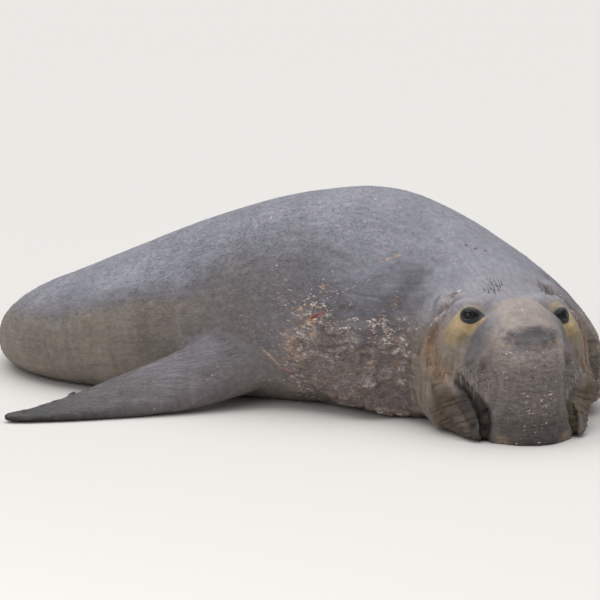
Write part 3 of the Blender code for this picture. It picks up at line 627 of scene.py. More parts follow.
def jowl_folds(r):
    jowl = r.jowl() * (1 - r.throat())
    slant = np.column_stack([r.f, r.l, 0.35 * r.u])
    upright = creases(slant + 0.008 * noise(r.points, 0.05, 23)[:, None], (0.018, 0.018, 0.070), 22)
    return jowl * (-0.0030 * upright), jowl * 0.55 * upright


def roughen(mesh):
    """Moves the skin into its wrinkles and callouses, and gives the depth of the creases from 0 to 1."""
    points, out = coordinates(mesh), normals(mesh)
    r = Regions(points)
    nose = r.nose()
    shield = r.shield() * (1 - nose) * (1 - ramp(r.f, 0.02, 0.10))
    bend = points + 0.022 * noise_shift(points, 0.09, 50)
    small = 1 - pebbles(points, (0.014, 0.014, 0.011), 18)
    parts = (
        nose_wrinkles(r),
        pad_wrinkles(r),
        shield_callouses(shield, bend, small),
        neck_rings(r, shield, bend),
        throat_folds(r, small),
        jowl_folds(r),
    )
    swell = 0.0022 * rough_noise(points, (0.16, 0.16, 0.07), 24) * (1 - r.head)
    move = sum(part[0] for part in parts) + (1 - shield) * (1 - nose) * swell
    set_coordinates(mesh, points + out * move[:, None])
    return np.clip(sum(part[1] for part in parts), 0, 1)


# Colours of the coat as red, green and blue from 0 to 255
COLOURS = {
    # Bluish grey of the upper coat, partly its own colour and partly painted sky reflection
    "back": (97, 96, 102),
    # Painted sheen: the sky's reflection along the top of the trunk
    "crest_sheen": (126, 126, 136),
    "flank": (106, 101, 103),
    # Dark grey of the shoulder, partly its own tone and partly painted shade
    "shoulder": (78, 75, 80),
    "hind": (112, 103, 94),
    "belly": (124, 114, 105),
    "shield": (162, 149, 144),
    "forehead": (133, 130, 135),
    "face": (126, 117, 112),
    "cheek": (138, 121, 105),
    "snout": (92, 87, 89),
    "ochre": (170, 146, 106),
    "olive": (144, 126, 90),
    "olive_dark": (96, 84, 64),
    "lid": (48, 50, 55),
    "rim": (14, 13, 16),
    "nose": (146, 134, 127),
    "nose_low": (105, 97, 94),
    "nose_foot": (62, 54, 49),
    "nose_edge": (150, 130, 102),
    "nose_patch": (58, 55, 60),
    # Painted highlight: a pale bluish band of gloss
    "nose_highlight_band": (132, 130, 136),
    "pad": (108, 100, 96),
    "jowl": (120, 108, 94),
    "throat": (84, 69, 55),
    # Near black: painted shade in the mouth's groove and painted shadow in the hollow beside the nose
    "mouth": (18, 12, 9),
    "flipper": (92, 86, 89),
    "flipper_tip": (40, 37, 35),
    "rust": (134, 96, 60),
    # Painted shade in the wrinkles along the face's fold
    "fold_shade": (74, 58, 44),
    "wound": (122, 22, 26),
    "wound_edge": (150, 100, 92),
    "pink": (178, 128, 126),
    "tan": (176, 150, 124),
    "dark_red": (88, 40, 36),
}

# Small marks in the frame's axes: colour, radius and path
MARKS = (
    ("wound_edge", 0.010, ((0.084, -1.100, 0.365), (0.055, -1.090, 0.345), (0.042, -1.085, 0.335))),
    ("wound", 0.0065, ((0.084, -1.100, 0.365), (0.055, -1.090, 0.345), (0.042, -1.085, 0.335))),
    ("tan", 0.0055, ((0.042, -1.085, 0.335), (0.030, -1.081, 0.324), (0.020, -1.078, 0.312))),
    ("pink", 0.008, ((-0.048, -1.036, 0.150), (-0.034, -1.042, 0.145), (-0.020, -1.048, 0.138))),
    ("tan", 0.006, ((-0.129, -1.005, 0.222), (-0.090, -1.020, 0.186), (-0.052, -1.033, 0.146))),
    ("tan", 0.006, ((0.004, -1.077, 0.207), (0.014, -1.074, 0.170), (0.018, -1.071, 0.135))),
    ("tan", 0.006, ((0.286, -1.050, 0.532), (0.320, -1.045, 0.546), (0.356, -1.038, 0.554))),
    ("dark_red", 0.008, ((0.617, -1.038, 0.579), (0.622, -1.039, 0.577))),
    ("dark_red", 0.007, ((0.652, -1.048, 0.574), (0.655, -1.048, 0.572))),
    ("dark_red", 0.006, ((0.586, -1.021, 0.587), (0.590, -1.022, 0.587))),
)


def linear(colour):
    """Linear light from a colour given as a screen shows it."""
    c = np.array(colour, float) / 255
    return np.where(c <= 0.04045, c / 12.92, ((c + 0.055) / 1.055) ** 2.4)


def paint_over(tint, *layers):
    """Paints over the tint with each named colour in turn, by its share at every point."""
    for name, share in layers:
        share = np.clip(share, 0, 1)[:, None]
        tint = tint * (1 - share) + linear(COLOURS[name]) * share
    return tint


def near_path(r, path, radius):
    """1 on a path of the head, given for both its sides, and 0 at the radius."""
    places = np.column_stack([r.f, r.side, r.u])
    away = along_line(places, smooth_line(path, 5))[0]
    return 1 - ramp(away, radius * 0.25, radius)


FACE_FOLD = HEAD_FOLDS[0][3]
MOUTH_PATH = ((0.104, 0.212, 0.196), (0.124, 0.194, 0.172), (0.174, 0.158, 0.122), (0.204, 0.152, 0.090))
# The hollow between the hanging nose and the jaw, which holds a painted shadow
HOLLOW_SHADOW_PATH = ((0.142, 0.192, 0.135), (0.182, 0.178, 0.105), (0.214, 0.170, 0.070), (0.226, 0.164, 0.025))
SNOUT_PATH = ((0.098, 0.132, 0.385), (0.122, 0.158, 0.335), (0.132, 0.170, 0.295), (0.128, 0.182, 0.262))
OCHRE_PATH = ((0.040, 0.150, 0.405), (0.046, 0.185, 0.375), (0.040, 0.215, 0.345))
FOOT_EDGE = ((0.262, 0.140, 0.012), (0.300, 0.0, 0.012))


def flipper_share(points):
    """1 on the outer part of every flipper."""
    share = np.zeros(len(points))
    for line, reach in zip(FLIPPERS, FLIPPER_REACHES):
        away, run, heading = along_line(points, line)
        share = np.maximum(share, (1 - ramp(away, reach * 0.75, reach)) * ramp(run, 0.18, 0.42))
    return share


def paint_trunk(r, tint, upward, wave):
    side = (1 - ramp(r.run, 0.60, 1.0)) * (1 - ramp(upward, 0.75, 1.0))
    tip = flipper_share(r.points)
    return paint_over(
        tint,
        # The shoulder's dark grey, partly its own tone and partly painted shade
        ("shoulder", ramp(r.run, 0.25, 0.5) * (1 - ramp(r.run, 0.9, 1.4))),
        ("hind", ramp(r.run + 0.15 * wave, 1.2, 1.9)),
        # Bluish grey on the upward-facing coat, partly its own colour and partly painted sky reflection
        ("back", ramp(upward, 0.22, 0.85) * (1 - 0.35 * ramp(r.run, 1.6, 2.4))),
        # Painted sheen: a lighter bluish grey on the very top, standing for the sky's reflection
        ("crest_sheen", ramp(upward, 0.55, 1.0) * 0.9),
        # Painted shade: the side-facing front of the trunk is darkened with the shoulder's grey
        ("shoulder", side * 0.75),
        ("belly", (1 - ramp(r.height + 0.05 * wave, 0.03, 0.20)) * 0.7),
        ("flipper", tip * 0.9),
        ("flipper_tip", tip * flipper_run(r.points)),
        ("shield", r.shield() * 0.85),
    )


def flipper_run(points):
    """0 at the root of a flipper and 1 at its tip."""
    share = np.zeros(len(points))
    for line in FLIPPERS:
        away, run, heading = along_line(points, line)
        share = np.maximum(share, ramp(run / length_of(line), 0.40, 0.95) * (1 - ramp(away, 0.14, 0.18)))
    return share


def paint_face(r, tint, wave):
    low = 1 - ramp(r.u + 0.03 * wave, 0.24, 0.44)
    broken = 0.5 + 0.5 * rough_noise(r.points, 0.05, 61, 2)
    rust = near_path(r, FACE_FOLD, 0.060) * broken * (0.80 - 0.60 * ramp(r.u, 0.34, 0.43))
    streaks = ramp(noise(np.column_stack([r.f, r.l, 0.22 * r.u]), 0.012, 66), 0.15, 0.55)
    return paint_over(
        tint,
        ("forehead", r.head * (1 - low) * 0.8),
        ("face", r.head * low * 0.85),
        ("cheek", r.head * low * ramp(r.side, 0.12, 0.22) * 0.7 * ramp(r.u, 0.16, 0.26)),
        ("jowl", r.jowl() * 0.75),
        ("rust", rust),
        ("olive", near_path(r, OCHRE_PATH, 0.062) * (0.75 + 0.25 * broken)),
        # Painted shade: darker streaks in the wrinkles along the face's fold
        ("fold_shade", near_path(r, FACE_FOLD, 0.075) * streaks * 0.45),
        ("snout", near_path(r, SNOUT_PATH, 0.062) * 0.9),
    )


def paint_nose(r, tint, wave):
    nose, front = r.nose(), r.f > 0.1
    ragged = 0.30 * noise(r.points, 0.03, 62) + 0.20 * noise(r.points, 0.012, 64)
    patch = np.hypot((r.l - 0.006) / 0.104, (r.u - 0.366) / 0.036) + 0.8 * ragged
    # The broken band across the nose's front is a painted highlight
    band = np.hypot(r.l / 0.110, (r.u - 0.318) / 0.020) + 1.6 * ragged
    return paint_over(
        tint,
        ("nose", nose),
        ("nose_low", nose * (1 - ramp(r.u + 0.03 * wave, 0.22, 0.34)) * 0.85),
        ("nose_foot", nose * (1 - ramp(r.u + 0.05 * wave, 0.04, 0.17)) * 0.85),
        ("nose_edge", nose * near_path(r, FOOT_EDGE, 0.030) * ramp(r.side, 0.02, 0.10) * 0.6),
        ("pad", r.pad() * 0.85 * (1 - 0.7 * nose)),
        ("nose_patch", nose * (1 - ramp(patch, 0.35, 1.30)) * 0.9 * front),
        # Painted highlight across the nose
        ("nose_highlight_band", nose * (1 - ramp(band, 0.4, 1.3)) * 0.45 * front),
    )


def paint_marks(points, tint):
    """The wound and the scratches, and how far each point belongs to one."""
    marked = np.zeros(len(points))
    for name, radius, path in MARKS:
        line = np.array(path)
        near = np.linalg.norm(points - line.mean(axis=0), axis=1) < 0.12
        if not near.any():
            continue
        away = along_line(points[near], line)[0] + 0.003 * noise(points[near], 0.008, 65)
        share = np.zeros(len(points))
        share[near] = 1 - ramp(away, radius * 0.45, radius)
        tint = paint_over(tint, (name, share * 0.9))
        marked = np.maximum(marked, share)
    return tint, marked


def fleck_share(r, upward, nose, shield):
    """How many pale flakes the skin has at every point."""
    flecks = 0.38 + 0.66 * shield
    flecks = flecks + 0.45 * r.neck() * (1 - ramp(upward, 0.3, 0.9)) * (1 - r.head)
    flecks = flecks + 0.22 * nose * (1 - 0.5 * ramp(r.u, 0.33, 0.40))
    flecks = flecks + 0.45 * near_path(r, FACE_FOLD, 0.080) - 0.30 * ramp(r.run, 1.2, 2.0)
    return flecks - 0.26 * r.head * (1 - nose)


def paint(points, out):
    """Colour of the coat, and its marks: pale flecks, wet gloss and how far it is bare calloused skin."""
    r = Regions(points)
    wave = rough_noise(points, 0.22, 60, 2)
    upward = ramp(out[:, 2] + 0.20 * wave, 0.05, 0.95)
    nose, pad, shield = r.nose(), r.pad(), r.shield()
    tint = np.tile(linear(COLOURS["flank"]), (len(points), 1))
    tint = paint_trunk(r, tint, upward, wave)
    tint = paint_face(r, tint, wave)
    tint = paint_nose(r, tint, wave)
    # Painted shade along the mouth's groove, and a painted shadow in the hollow between the hanging nose and
    # the jaw
    dark = np.maximum(near_path(r, MOUTH_PATH, 0.034), near_path(r, HOLLOW_SHADOW_PATH, 0.062) * 0.80)
    tint = paint_over(
        tint,
        ("throat", r.throat() * 0.92),
        ("mouth", dark * np.where(r.l > 0, LEFT_MOUTH_SHADE_SHARE, 1.0)),
        ("olive_dark", r.throat() * ramp(r.l, 0.0, 0.05) * 0.6),
    )
    gloss = 0.30 * upward + 0.30 * nose + 0.30 * flipper_share(points)
    flecks = fleck_share(r, upward, nose, shield)
    for hand, side in HANDS:
        tint, gloss, flecks = paint_eye(points, hand, side, tint, gloss, flecks)
    tint, marked = paint_marks(points, tint)
    flecks = flecks * (1 - marked)
    column = nose * (0.25 + 0.75 * (1 - ramp(r.u, 0.33, 0.38)))
    bare = np.maximum(np.maximum(column, 0.8 * shield), 0.5 * pad)
    return tint, np.clip(np.column_stack([flecks, gloss, bare]), 0, 1), r


def paint_eye(points, hand, side, tint, gloss, flecks):
    """The ochre ring, the dark lids and the black edge of the opening."""
    offset, x, y, z = eye_places(points, hand, side)
    front = (z > 0.0) & (np.linalg.norm(offset, axis=1) < 0.13)
    ring = almond_distance(x + 0.008, y + 0.012, 0.042, 0.056, 0.030, 0.042)
    ring = ring + 0.008 * noise(points, 0.03, 63)
    lid = almond_distance(x - 0.003, y + 0.001, 0.035, 0.056, 0.030, 0.031)
    rim = almond_distance(x, y, OPENING_OUTER, OPENING_INNER, OPENING_ABOVE, OPENING_BELOW)
    edge = front * (1 - ramp(np.abs(rim - 0.0005), 0.0015, 0.0045)) * ramp(y, -0.018, 0.002)
    lower = front * (1 - ramp(np.abs(rim - 0.0082), 0.0008, 0.0030)) * (1 - ramp(y, -0.008, 0.0))
    tint = paint_over(
        tint,
        ("ochre", front * (1 - ramp(ring, -0.002, 0.034)) * 0.9),
        ("lid", front * (1 - ramp(lid, -0.003, 0.002))),
        ("rim", edge),
        ("rim", lower * 0.8),
    )
    gloss = np.where(front & (lid < 0.002), 0.8, gloss)
    return tint, gloss, np.where(front & (ring < 0.02), 0.0, flecks)


def lie_of(r):
    """Place along the trunk and round it, for patterns that follow the coat."""
    middle = place_on(smooth_line(TRUNK_LINE, 4), r.run)
    across = np.column_stack([r.heading[:, 1], -r.heading[:, 0]])
    side = dot(r.points[:, :2] - middle[:, :2], across)
    around = np.arctan2(side, r.height - middle[:, 2]) * TRUNK_RADIUS
    return np.column_stack([r.run, around, np.zeros(len(r.run))])


def limb_of(points):
    """Places along and across the nearest flipper, and how far the skin belongs to it."""
    made, nearest = np.zeros((len(points), 3)), np.full(len(points), 9.0)
    for line in FLIPPERS:
        line = smooth_line(line, 10)
        away, run, heading = along_line(points, line)
        sideways = np.column_stack([-heading[:, 1], heading[:, 0], heading[:, 2] * 0])
        across = dot(points - place_on(line, run), sideways)
        closer = away < nearest
        nearest[closer] = away[closer]
        made[closer] = np.column_stack([run, across, np.zeros(len(run))])[closer]
    made[:, 2] = flipper_share(points)
    return made


# The kinds of the attributes and of their values, and those that the skin and its coat share
ATTRIBUTE_KINDS = {
    "tint": ("FLOAT_COLOR", "color"),
    "marks": ("FLOAT_COLOR", "color"),
    "lie": ("FLOAT_VECTOR", "vector"),
    "limb": ("FLOAT_VECTOR", "vector"),
    "crease": ("FLOAT", "value"),
    "ring": ("FLOAT", "value"),
}
SKIN_ATTRIBUTES = ("tint", "marks", "lie", "limb", "crease")


def write_attribute(mesh, name, values):
    """Puts a colour, a place or a number for every vertex into the mesh."""
    kind, field = ATTRIBUTE_KINDS[name]
    if field == "color":
        values = np.column_stack([values, np.ones(len(values))])
    made = mesh.attributes.new(name, kind, "POINT")
    made.data.foreach_set(field, np.ascontiguousarray(values, np.float32).ravel())


# Materials


class Shader:
    """A new material, with short ways to add its nodes."""

    def __init__(self, name):
        self.material = bpy.data.materials.new(name)
        self.material.use_nodes = True
        self.tree = self.material.node_tree
        self.out = self.tree.nodes["Principled BSDF"]

    def node(self, kind, inputs=(), **settings):
        made = self.tree.nodes.new(kind)
        for key, value in settings.items():
            setattr(made, key, value)
        for key, value in dict(inputs).items():
            self.put(made.inputs[key], value)
        return made

    def put(self, socket, value):
        if isinstance(value, bpy.types.NodeSocket):
            self.tree.links.new(value, socket)
        else:
            socket.default_value = value

    def attribute(self, name, output="Color"):
        return self.node("ShaderNodeAttribute", attribute_name=name).outputs[output]

    def place(self):
        return self.node("ShaderNodeTexCoord").outputs["Object"]

    def stretched(self, vector, scale, turn=0.0):
        values = {"Vector": vector, "Scale": scale, "Rotation": (0.0, 0.0, turn)}
        return self.node("ShaderNodeMapping", values).outputs["Vector"]

    def noise(self, vector, scale, detail=3.0, roughness=0.55, distortion=0.0):
        values = {"Vector": vector, "Scale": scale, "Detail": detail}
        values |= {"Roughness": roughness, "Distortion": distortion}
        return self.node("ShaderNodeTexNoise", values).outputs["Fac"]

    def sum(self, kind, *terms):
        """The result of one kind of sum with its terms."""
        return self.node("ShaderNodeMath", dict(enumerate(terms)), operation=kind).outputs[0]

    def around(self, value, amount):
        """A number that swings about 1 by that amount as the value swings about a half."""
        return self.sum("MULTIPLY_ADD", self.sum("SUBTRACT", value, 0.5), amount, 1.0)

    def span(self, value, low, high, start=0.0, end=1.0):
        values = {"Value": value, "From Min": low, "From Max": high, "To Min": start, "To Max": end}
        return self.node("ShaderNodeMapRange", values, interpolation_type="SMOOTHSTEP").outputs["Result"]

    def mix(self, share, a, b):
        """Colour a where the share is 0 and colour b where it is 1."""
        made = self.node("ShaderNodeMix", data_type="RGBA", clamp_factor=True)
        for socket, value in zip((0, 6, 7), (share, a, b)):
            self.put(made.inputs[socket], value)
        return made.outputs[2]

    def times(self, colour, value):
        """The colour made lighter or darker by a number."""
        return self.node("ShaderNodeVectorMath", {0: colour, "Scale": value}, operation="SCALE").outputs[0]

    def bump(self, height, distance, under=None):
        made = self.node("ShaderNodeBump", {"Height": height, "Distance": distance, "Strength": 1.0})
        if under is not None:
            self.put(made.inputs["Normal"], under)
        return made.outputs["Normal"]


# Colours of light for what the materials add to the painted tint
SCAR_COLOUR = (0.42, 0.36, 0.31, 1)
FLAKE_TAN, FLAKE_WHITE = (0.46, 0.29, 0.17, 1), (0.66, 0.58, 0.51, 1)
FLAKE_PINK = (0.58, 0.37, 0.31, 1)
WEAL_BROWN, WEAL_WHITE = (0.36, 0.23, 0.15, 1), (0.60, 0.52, 0.46, 1)
PUPIL, IRIS_EDGE = (0.002, 0.002, 0.003, 1), (0.012, 0.011, 0.014, 1)
IRIS_DARK, IRIS_PALE = (0.006, 0.006, 0.008, 1), (0.014, 0.013, 0.017, 1)
WHISKER_PALE, WHISKER_DARK = (0.42, 0.36, 0.28), (0.020, 0.017, 0.017)
PIT_COLOUR, NAIL_COLOUR = (0.012, 0.010, 0.010), (0.040, 0.034, 0.031)
EYE_ROUGHNESS, EYE_IOR = 0.10, 1.34
HAIR_ROUGHNESS, NAIL_ROUGHNESS = 0.38, 0.32


def coat_colour(s):
    """The painted colour with the fine mottling, flecks and scars of the real coat, and painted shade in its
    creases.
    """
    place, lie = s.place(), s.attribute("lie", "Vector")
    marks = s.node("ShaderNodeSeparateColor", {"Color": s.attribute("marks")})
    flecks, gloss, bare = marks.outputs
    crease = s.attribute("crease", "Fac")
    colour = s.attribute("tint")
    colour = s.times(colour, s.span(s.noise(place, 6.0, 3.0), 0.3, 0.7, 0.90, 1.10))
    colour = s.times(colour, s.span(s.noise(place, 42.0, 5.0, 0.65), 0.25, 0.75, 0.84, 1.16))
    hair = s.noise(s.stretched(lie, (26.0, 230.0, 1.0)), 1.0, 4.0, 0.6)
    colour = s.times(colour, s.around(hair, s.sum("MULTIPLY_ADD", bare, -0.35, 0.55)))
    lines = s.noise(s.stretched(lie, (7.0, 62.0, 1.0)), 1.0, 4.0, 0.6, 0.5)
    colour = s.times(colour, s.around(lines, s.sum("MULTIPLY_ADD", bare, -0.45, 0.50)))
    across = s.noise(s.stretched(place, (44.0, 44.0, 135.0)), 1.0, 6.0, 0.70, 0.5)
    colour = s.times(colour, s.around(across, s.sum("MULTIPLY", bare, 1.25)))
    pits = s.span(s.noise(place, 150.0, 3.0, 0.6), 0.34, 0.44, 0.62, 1.0)
    colour = s.times(colour, s.sum("MULTIPLY_ADD", s.sum("SUBTRACT", pits, 1.0), bare, 1.0))
    colour = hind_streaks(s, colour, lie)
    colour, wrinkles = flipper_wrinkles(s, colour)
    colour = pale_flecks(s, colour, place, flecks)
    colour = curved_scars(s, colour, place, s.sum("MULTIPLY_ADD", crease, -0.35, flecks))
    scar = s.noise(s.stretched(lie, (5.0, 75.0, 1.0)), 1.6, 2.0, 0.5, 0.4)
    over = s.sum("SUBTRACT", scar, s.sum("MULTIPLY_ADD", flecks, -0.04, 0.78))
    colour = s.mix(s.span(over, 0.0, 0.03, 0.0, 0.45), colour, SCAR_COLOUR)
    # Painted shade: darker where the skin's creases are deep
    colour = s.times(colour, s.span(crease, 0.0, 1.0, 1.05, 0.40))
    return colour, place, lie, gloss, bare, across, wrinkles


def hind_streaks(s, colour, lie):
    """Dull upright streaks over the hind part."""
    run = s.node("ShaderNodeSeparateXYZ", {"Vector": lie}).outputs[0]
    streaks = s.noise(s.stretched(lie, (17.0, 2.2, 1.0)), 1.0, 4.0, 0.6, 0.3)
    return s.times(colour, s.around(streaks, s.span(run, 1.0, 1.8, 0.0, 0.75)))


def flipper_wrinkles(s, colour):
    """Fine slanting wrinkles along the flippers."""
    limb = s.attribute("limb", "Vector")
    share = s.node("ShaderNodeSeparateXYZ", {"Vector": limb}).outputs[2]
    turned = s.stretched(limb, (1.0, 1.0, 1.0), 0.32)
    lines = s.noise(s.stretched(turned, (12.0, 95.0, 0.0)), 1.0, 4.0, 0.6, 0.4)
    wrinkles = s.sum("MULTIPLY", s.sum("SUBTRACT", lines, 0.5), share)
    return s.times(colour, s.sum("MULTIPLY_ADD", wrinkles, 1.1, 1.0)), wrinkles


def pale_flecks(s, colour, place, flecks):
    """Small white, tan and pink flakes, mostly wider than high."""
    pale = s.noise(s.stretched(place, (62.0, 62.0, 130.0)), 1.0, 5.0, 0.66, 0.6)
    patches = s.sum("MULTIPLY", s.sum("SUBTRACT", s.noise(place, 9.0, 2.0), 0.5), 0.30)
    limit = s.sum("SUBTRACT", s.sum("MULTIPLY_ADD", flecks, -0.165, 0.722), patches)
    share = s.span(s.sum("SUBTRACT", pale, limit), 0.0, 0.030, 0.0, 0.92)
    which = s.noise(place, 23.0, 2.0)
    flake = s.mix(s.span(which, 0.44, 0.56), FLAKE_TAN, FLAKE_WHITE)
    flake = s.mix(s.span(which, 0.60, 0.66), flake, FLAKE_PINK)
    return s.mix(share, colour, flake)


def curved_scars(s, colour, place, flecks):
    """Thin winding lines where the skin was torn and healed."""
    bend = s.noise(s.stretched(place, (34.0, 34.0, 50.0)), 1.0, 3.0, 0.6, 0.7)
    away = s.node("ShaderNodeMath", {0: s.sum("SUBTRACT", bend, 0.5)}, operation="ABSOLUTE").outputs[0]
    line = s.span(away, 0.012, 0.050, 1.0, 0.0)
    where = s.sum("MULTIPLY_ADD", flecks, 0.20, s.noise(place, 17.0, 5.0, 0.65))
    share = s.sum("MULTIPLY", line, s.span(where, 0.57, 0.68))
    share = s.sum("MULTIPLY", share, s.span(flecks, 0.56, 0.95, 0.0, 0.85))
    shade = s.mix(s.span(s.noise(place, 31.0, 2.0), 0.42, 0.58), WEAL_BROWN, WEAL_WHITE)
    return s.mix(share, colour, shade)


def skin_material(name):
    s = Shader(name)
    colour, place, lie, gloss, bare, across, wrinkles = coat_colour(s)
    s.put(s.out.inputs["Base Color"], colour)
    uneven = s.noise(place, 30.0, 3.0)
    rough = s.sum("MULTIPLY_ADD", gloss, -0.26, 0.66)
    s.put(s.out.inputs["Roughness"], s.sum("MULTIPLY_ADD", s.sum("SUBTRACT", uneven, 0.5), 0.22, rough))
    fur = s.noise(s.stretched(lie, (110.0, 900.0, 1.0)), 1.0, 3.0, 0.6)
    grain = s.noise(place, 260.0, 4.0, 0.6)
    normal = s.bump(s.sum("MULTIPLY", fur, s.sum("SUBTRACT", 1.1, bare)), 0.0012)
    normal = s.bump(s.sum("MULTIPLY", across, bare), 0.0060, normal)
    normal = s.bump(wrinkles, 0.0080, normal)
    normal = s.bump(grain, 0.0012, normal)
    s.put(s.out.inputs["Normal"], normal)
    return s.material


def eye_material():
    s = Shader("seal_eye")
    ring = s.attribute("ring", "Fac")
    streaks = s.noise(s.place(), 240.0, 3.0)
    colour = s.mix(s.span(ring, 0.30, 0.36), PUPIL, s.mix(streaks, IRIS_DARK, IRIS_PALE))
    colour = s.mix(s.span(ring, 0.62, 0.74), colour, IRIS_EDGE)
    s.put(s.out.inputs["Base Color"], colour)
    s.put(s.out.inputs["Roughness"], EYE_ROUGHNESS)
    s.put(s.out.inputs["IOR"], EYE_IOR)
    return s.material


def mottled_material(name, colour, grain, shades, roughness):
    """One colour, mottled between two shades of it."""
    s = Shader(name)
    shade = s.span(s.noise(s.place(), grain), 0.3, 0.7, *shades)
    s.put(s.out.inputs["Base Color"], s.times(colour, shade))
    s.put(s.out.inputs["Roughness"], roughness)
    return s.material


# Eyes, nails and whiskers
CORNEA_REACH = 0.62
CORNEA_RISE = 0.0011
BALL_INSET = 0.0004


def add_piece(name, mesh, material):
    """Puts a mesh into the scene as a piece that rides on the body."""
    mesh.materials.append(material)
    piece = link(name, mesh)
    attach(piece, "root")
    return piece


def make_eye(hand, side, material):
    """A smooth ball with a low cornea, a little inside the ball of the solids."""
    ahead, inward, above = eye_frame(hand)
    b = bmesh.new()
    bmesh.ops.create_uvsphere(b, u_segments=64, v_segments=40, radius=1.0)
    mesh = bpy.data.meshes.new("eye_ball_" + side)
    b.to_mesh(mesh)
    b.free()
    ball = coordinates(mesh)
    ring = np.arccos(np.clip(ball[:, 2], -1, 1)) / (math.pi / 2)
    rise = CORNEA_RISE * np.clip(1 - (ring / CORNEA_REACH) ** 2, 0, 1) ** 1.5
    radius = EYE_RADIUS - BALL_INSET + rise - CORNEA_RISE * 0.5
    turned = ball[:, :1] * inward + ball[:, 1:2] * above + ball[:, 2:] * ahead
    set_coordinates(mesh, eye_centre(side) + turned * radius[:, None])
    if hand > 0:
        mesh.flip_normals()
    write_attribute(mesh, "ring", ring)
    mesh.shade_smooth()
    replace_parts(add_piece("eye_ball_" + side, mesh, material), "eye_" + side)


# Small pieces spread over the skin


def tube_mesh(name, paths, radii, sides=5):
    """Many tapered hairs in one mesh. Each path is a row of points, with one radius for each point."""
    count, steps = paths.shape[:2]
    along = np.gradient(paths, axis=1)
    along /= np.linalg.norm(along, axis=2)[..., None]
    across = np.cross(along, np.array((0.31, 0.17, 0.93)))
    across /= np.linalg.norm(across, axis=2)[..., None]
    other = np.cross(along, across)
    turn = np.arange(sides) * 2 * math.pi / sides
    ring = across[:, :, None] * np.cos(turn)[:, None] + other[:, :, None] * np.sin(turn)[:, None]
    points = (paths[:, :, None] + ring * radii[:, :, None, None]).reshape(-1, 3)
    k = np.arange(sides)
    first = (np.arange(count)[:, None] * steps + np.arange(steps - 1)) * sides
    quads = np.stack([first[..., None] + k, first[..., None] + (k + 1) % sides], axis=-1)
    quads = np.concatenate([quads, quads[..., ::-1] + sides], axis=-1).reshape(-1, 4)
    ends = np.arange(count)[:, None] * steps * sides + k
    caps = [tuple(row[::-1]) for row in ends] + [tuple(row + (steps - 1) * sides) for row in ends]
    mesh = bpy.data.meshes.new(name)
    mesh.from_pydata(points.tolist(), [], [tuple(q) for q in quads.tolist()] + caps)
    mesh.update()
    mesh.shade_smooth()
    return mesh


def hair_paths(roots, starts, lengths, sweep, steps=8):
    """Curved paths that leave in one direction and bend towards the sweep."""
    t = np.linspace(0, 1, steps)[None, :, None]
    lengths = lengths[:, None, None]
    return roots[:, None] + starts[:, None] * (t * lengths) + sweep[:, None] * (t**2 * lengths)


WHISKER_ROWS, WHISKER_COLUMNS = 5, 6
PAD_MIDDLE = (0.148, 0.182, 0.214)
PAD_ALONG = (0.090, -0.062, -0.052)
PAD_ACROSS = (-0.012, 0.004, -0.066)
BROW_ROOTS = {
    "right": (
        (-0.046, -0.078), (-0.086, -0.040), (-0.077, -0.007), (-0.010, -0.053), (-0.030, -0.032),
        (-0.050, -0.055), (-0.055, -0.020), (-0.022, -0.072), (-0.034, -0.048), (-0.066, -0.030),
    ),
    "left": (
        (-0.107, 0.144), (-0.110, 0.172), (-0.030, 0.152), (-0.010, 0.135), (-0.060, 0.162),
        (-0.050, 0.135), (-0.085, 0.152), (-0.036, 0.168), (-0.078, 0.178), (-0.016, 0.158),
    ),
}
BROW_HEIGHT = 0.475
HAIRS_PER_BROW_ROOT = 3
ROOT_DEPTH = 0.002
PIT_DEPTH = 0.0006
LIP_PIT, BROW_PIT = (0.0030, 0.0015), (0.0062, 0.0024)
WHISKER_SEED = 7


def on_skin(tree, places):
    """The nearest points of the skin, and its normals there."""
    found = [tree.find_nearest(Vector(p)) for p in places]
    return np.array([f[0] for f in found]), np.array([f[1] for f in found])


def whisker_roots(tree, hand, random):
    """Rows of roots over a whisker pad."""
    rows = []
    for i, k in product(range(WHISKER_ROWS), range(WHISKER_COLUMNS)):
        a = k / (WHISKER_COLUMNS - 1) - 0.5 + 0.06 * (i % 2)
        b = i / (WHISKER_ROWS - 1) - 0.5
        place = np.array(PAD_MIDDLE) + np.array(PAD_ALONG) * a + np.array(PAD_ACROSS) * b
        place = place + random.normal(0, 0.0016, 3)
        rows.append(head_place(place[0], place[1] * hand, place[2]))
    return on_skin(tree, rows)


def brow_roots(tree, side):
    return on_skin(tree, [head_place(f, l, BROW_HEIGHT) for f, l in BROW_ROOTS[side]])


def add_hairs(name, roots, out, start, sweep, ranges, material, random):
    """Hairs that leave their roots about the start and bend to the sweep, sized within the ranges."""
    count = len(roots)
    spread, lengths, thickness = ranges
    starts = unit(start + random.normal(0, spread, (count, 3)))
    lengths = random.uniform(*lengths, count)
    sweep = sweep + random.normal(0, 0.16, (count, 3))
    thickness = random.uniform(*thickness, count)
    paths = hair_paths(roots - out * ROOT_DEPTH, starts, lengths, sweep)
    taper = 1 - 0.85 * np.linspace(0, 1, paths.shape[1]) ** 1.3
    add_piece(name, tube_mesh(name, paths, thickness[:, None] * taper[None, :]), material)


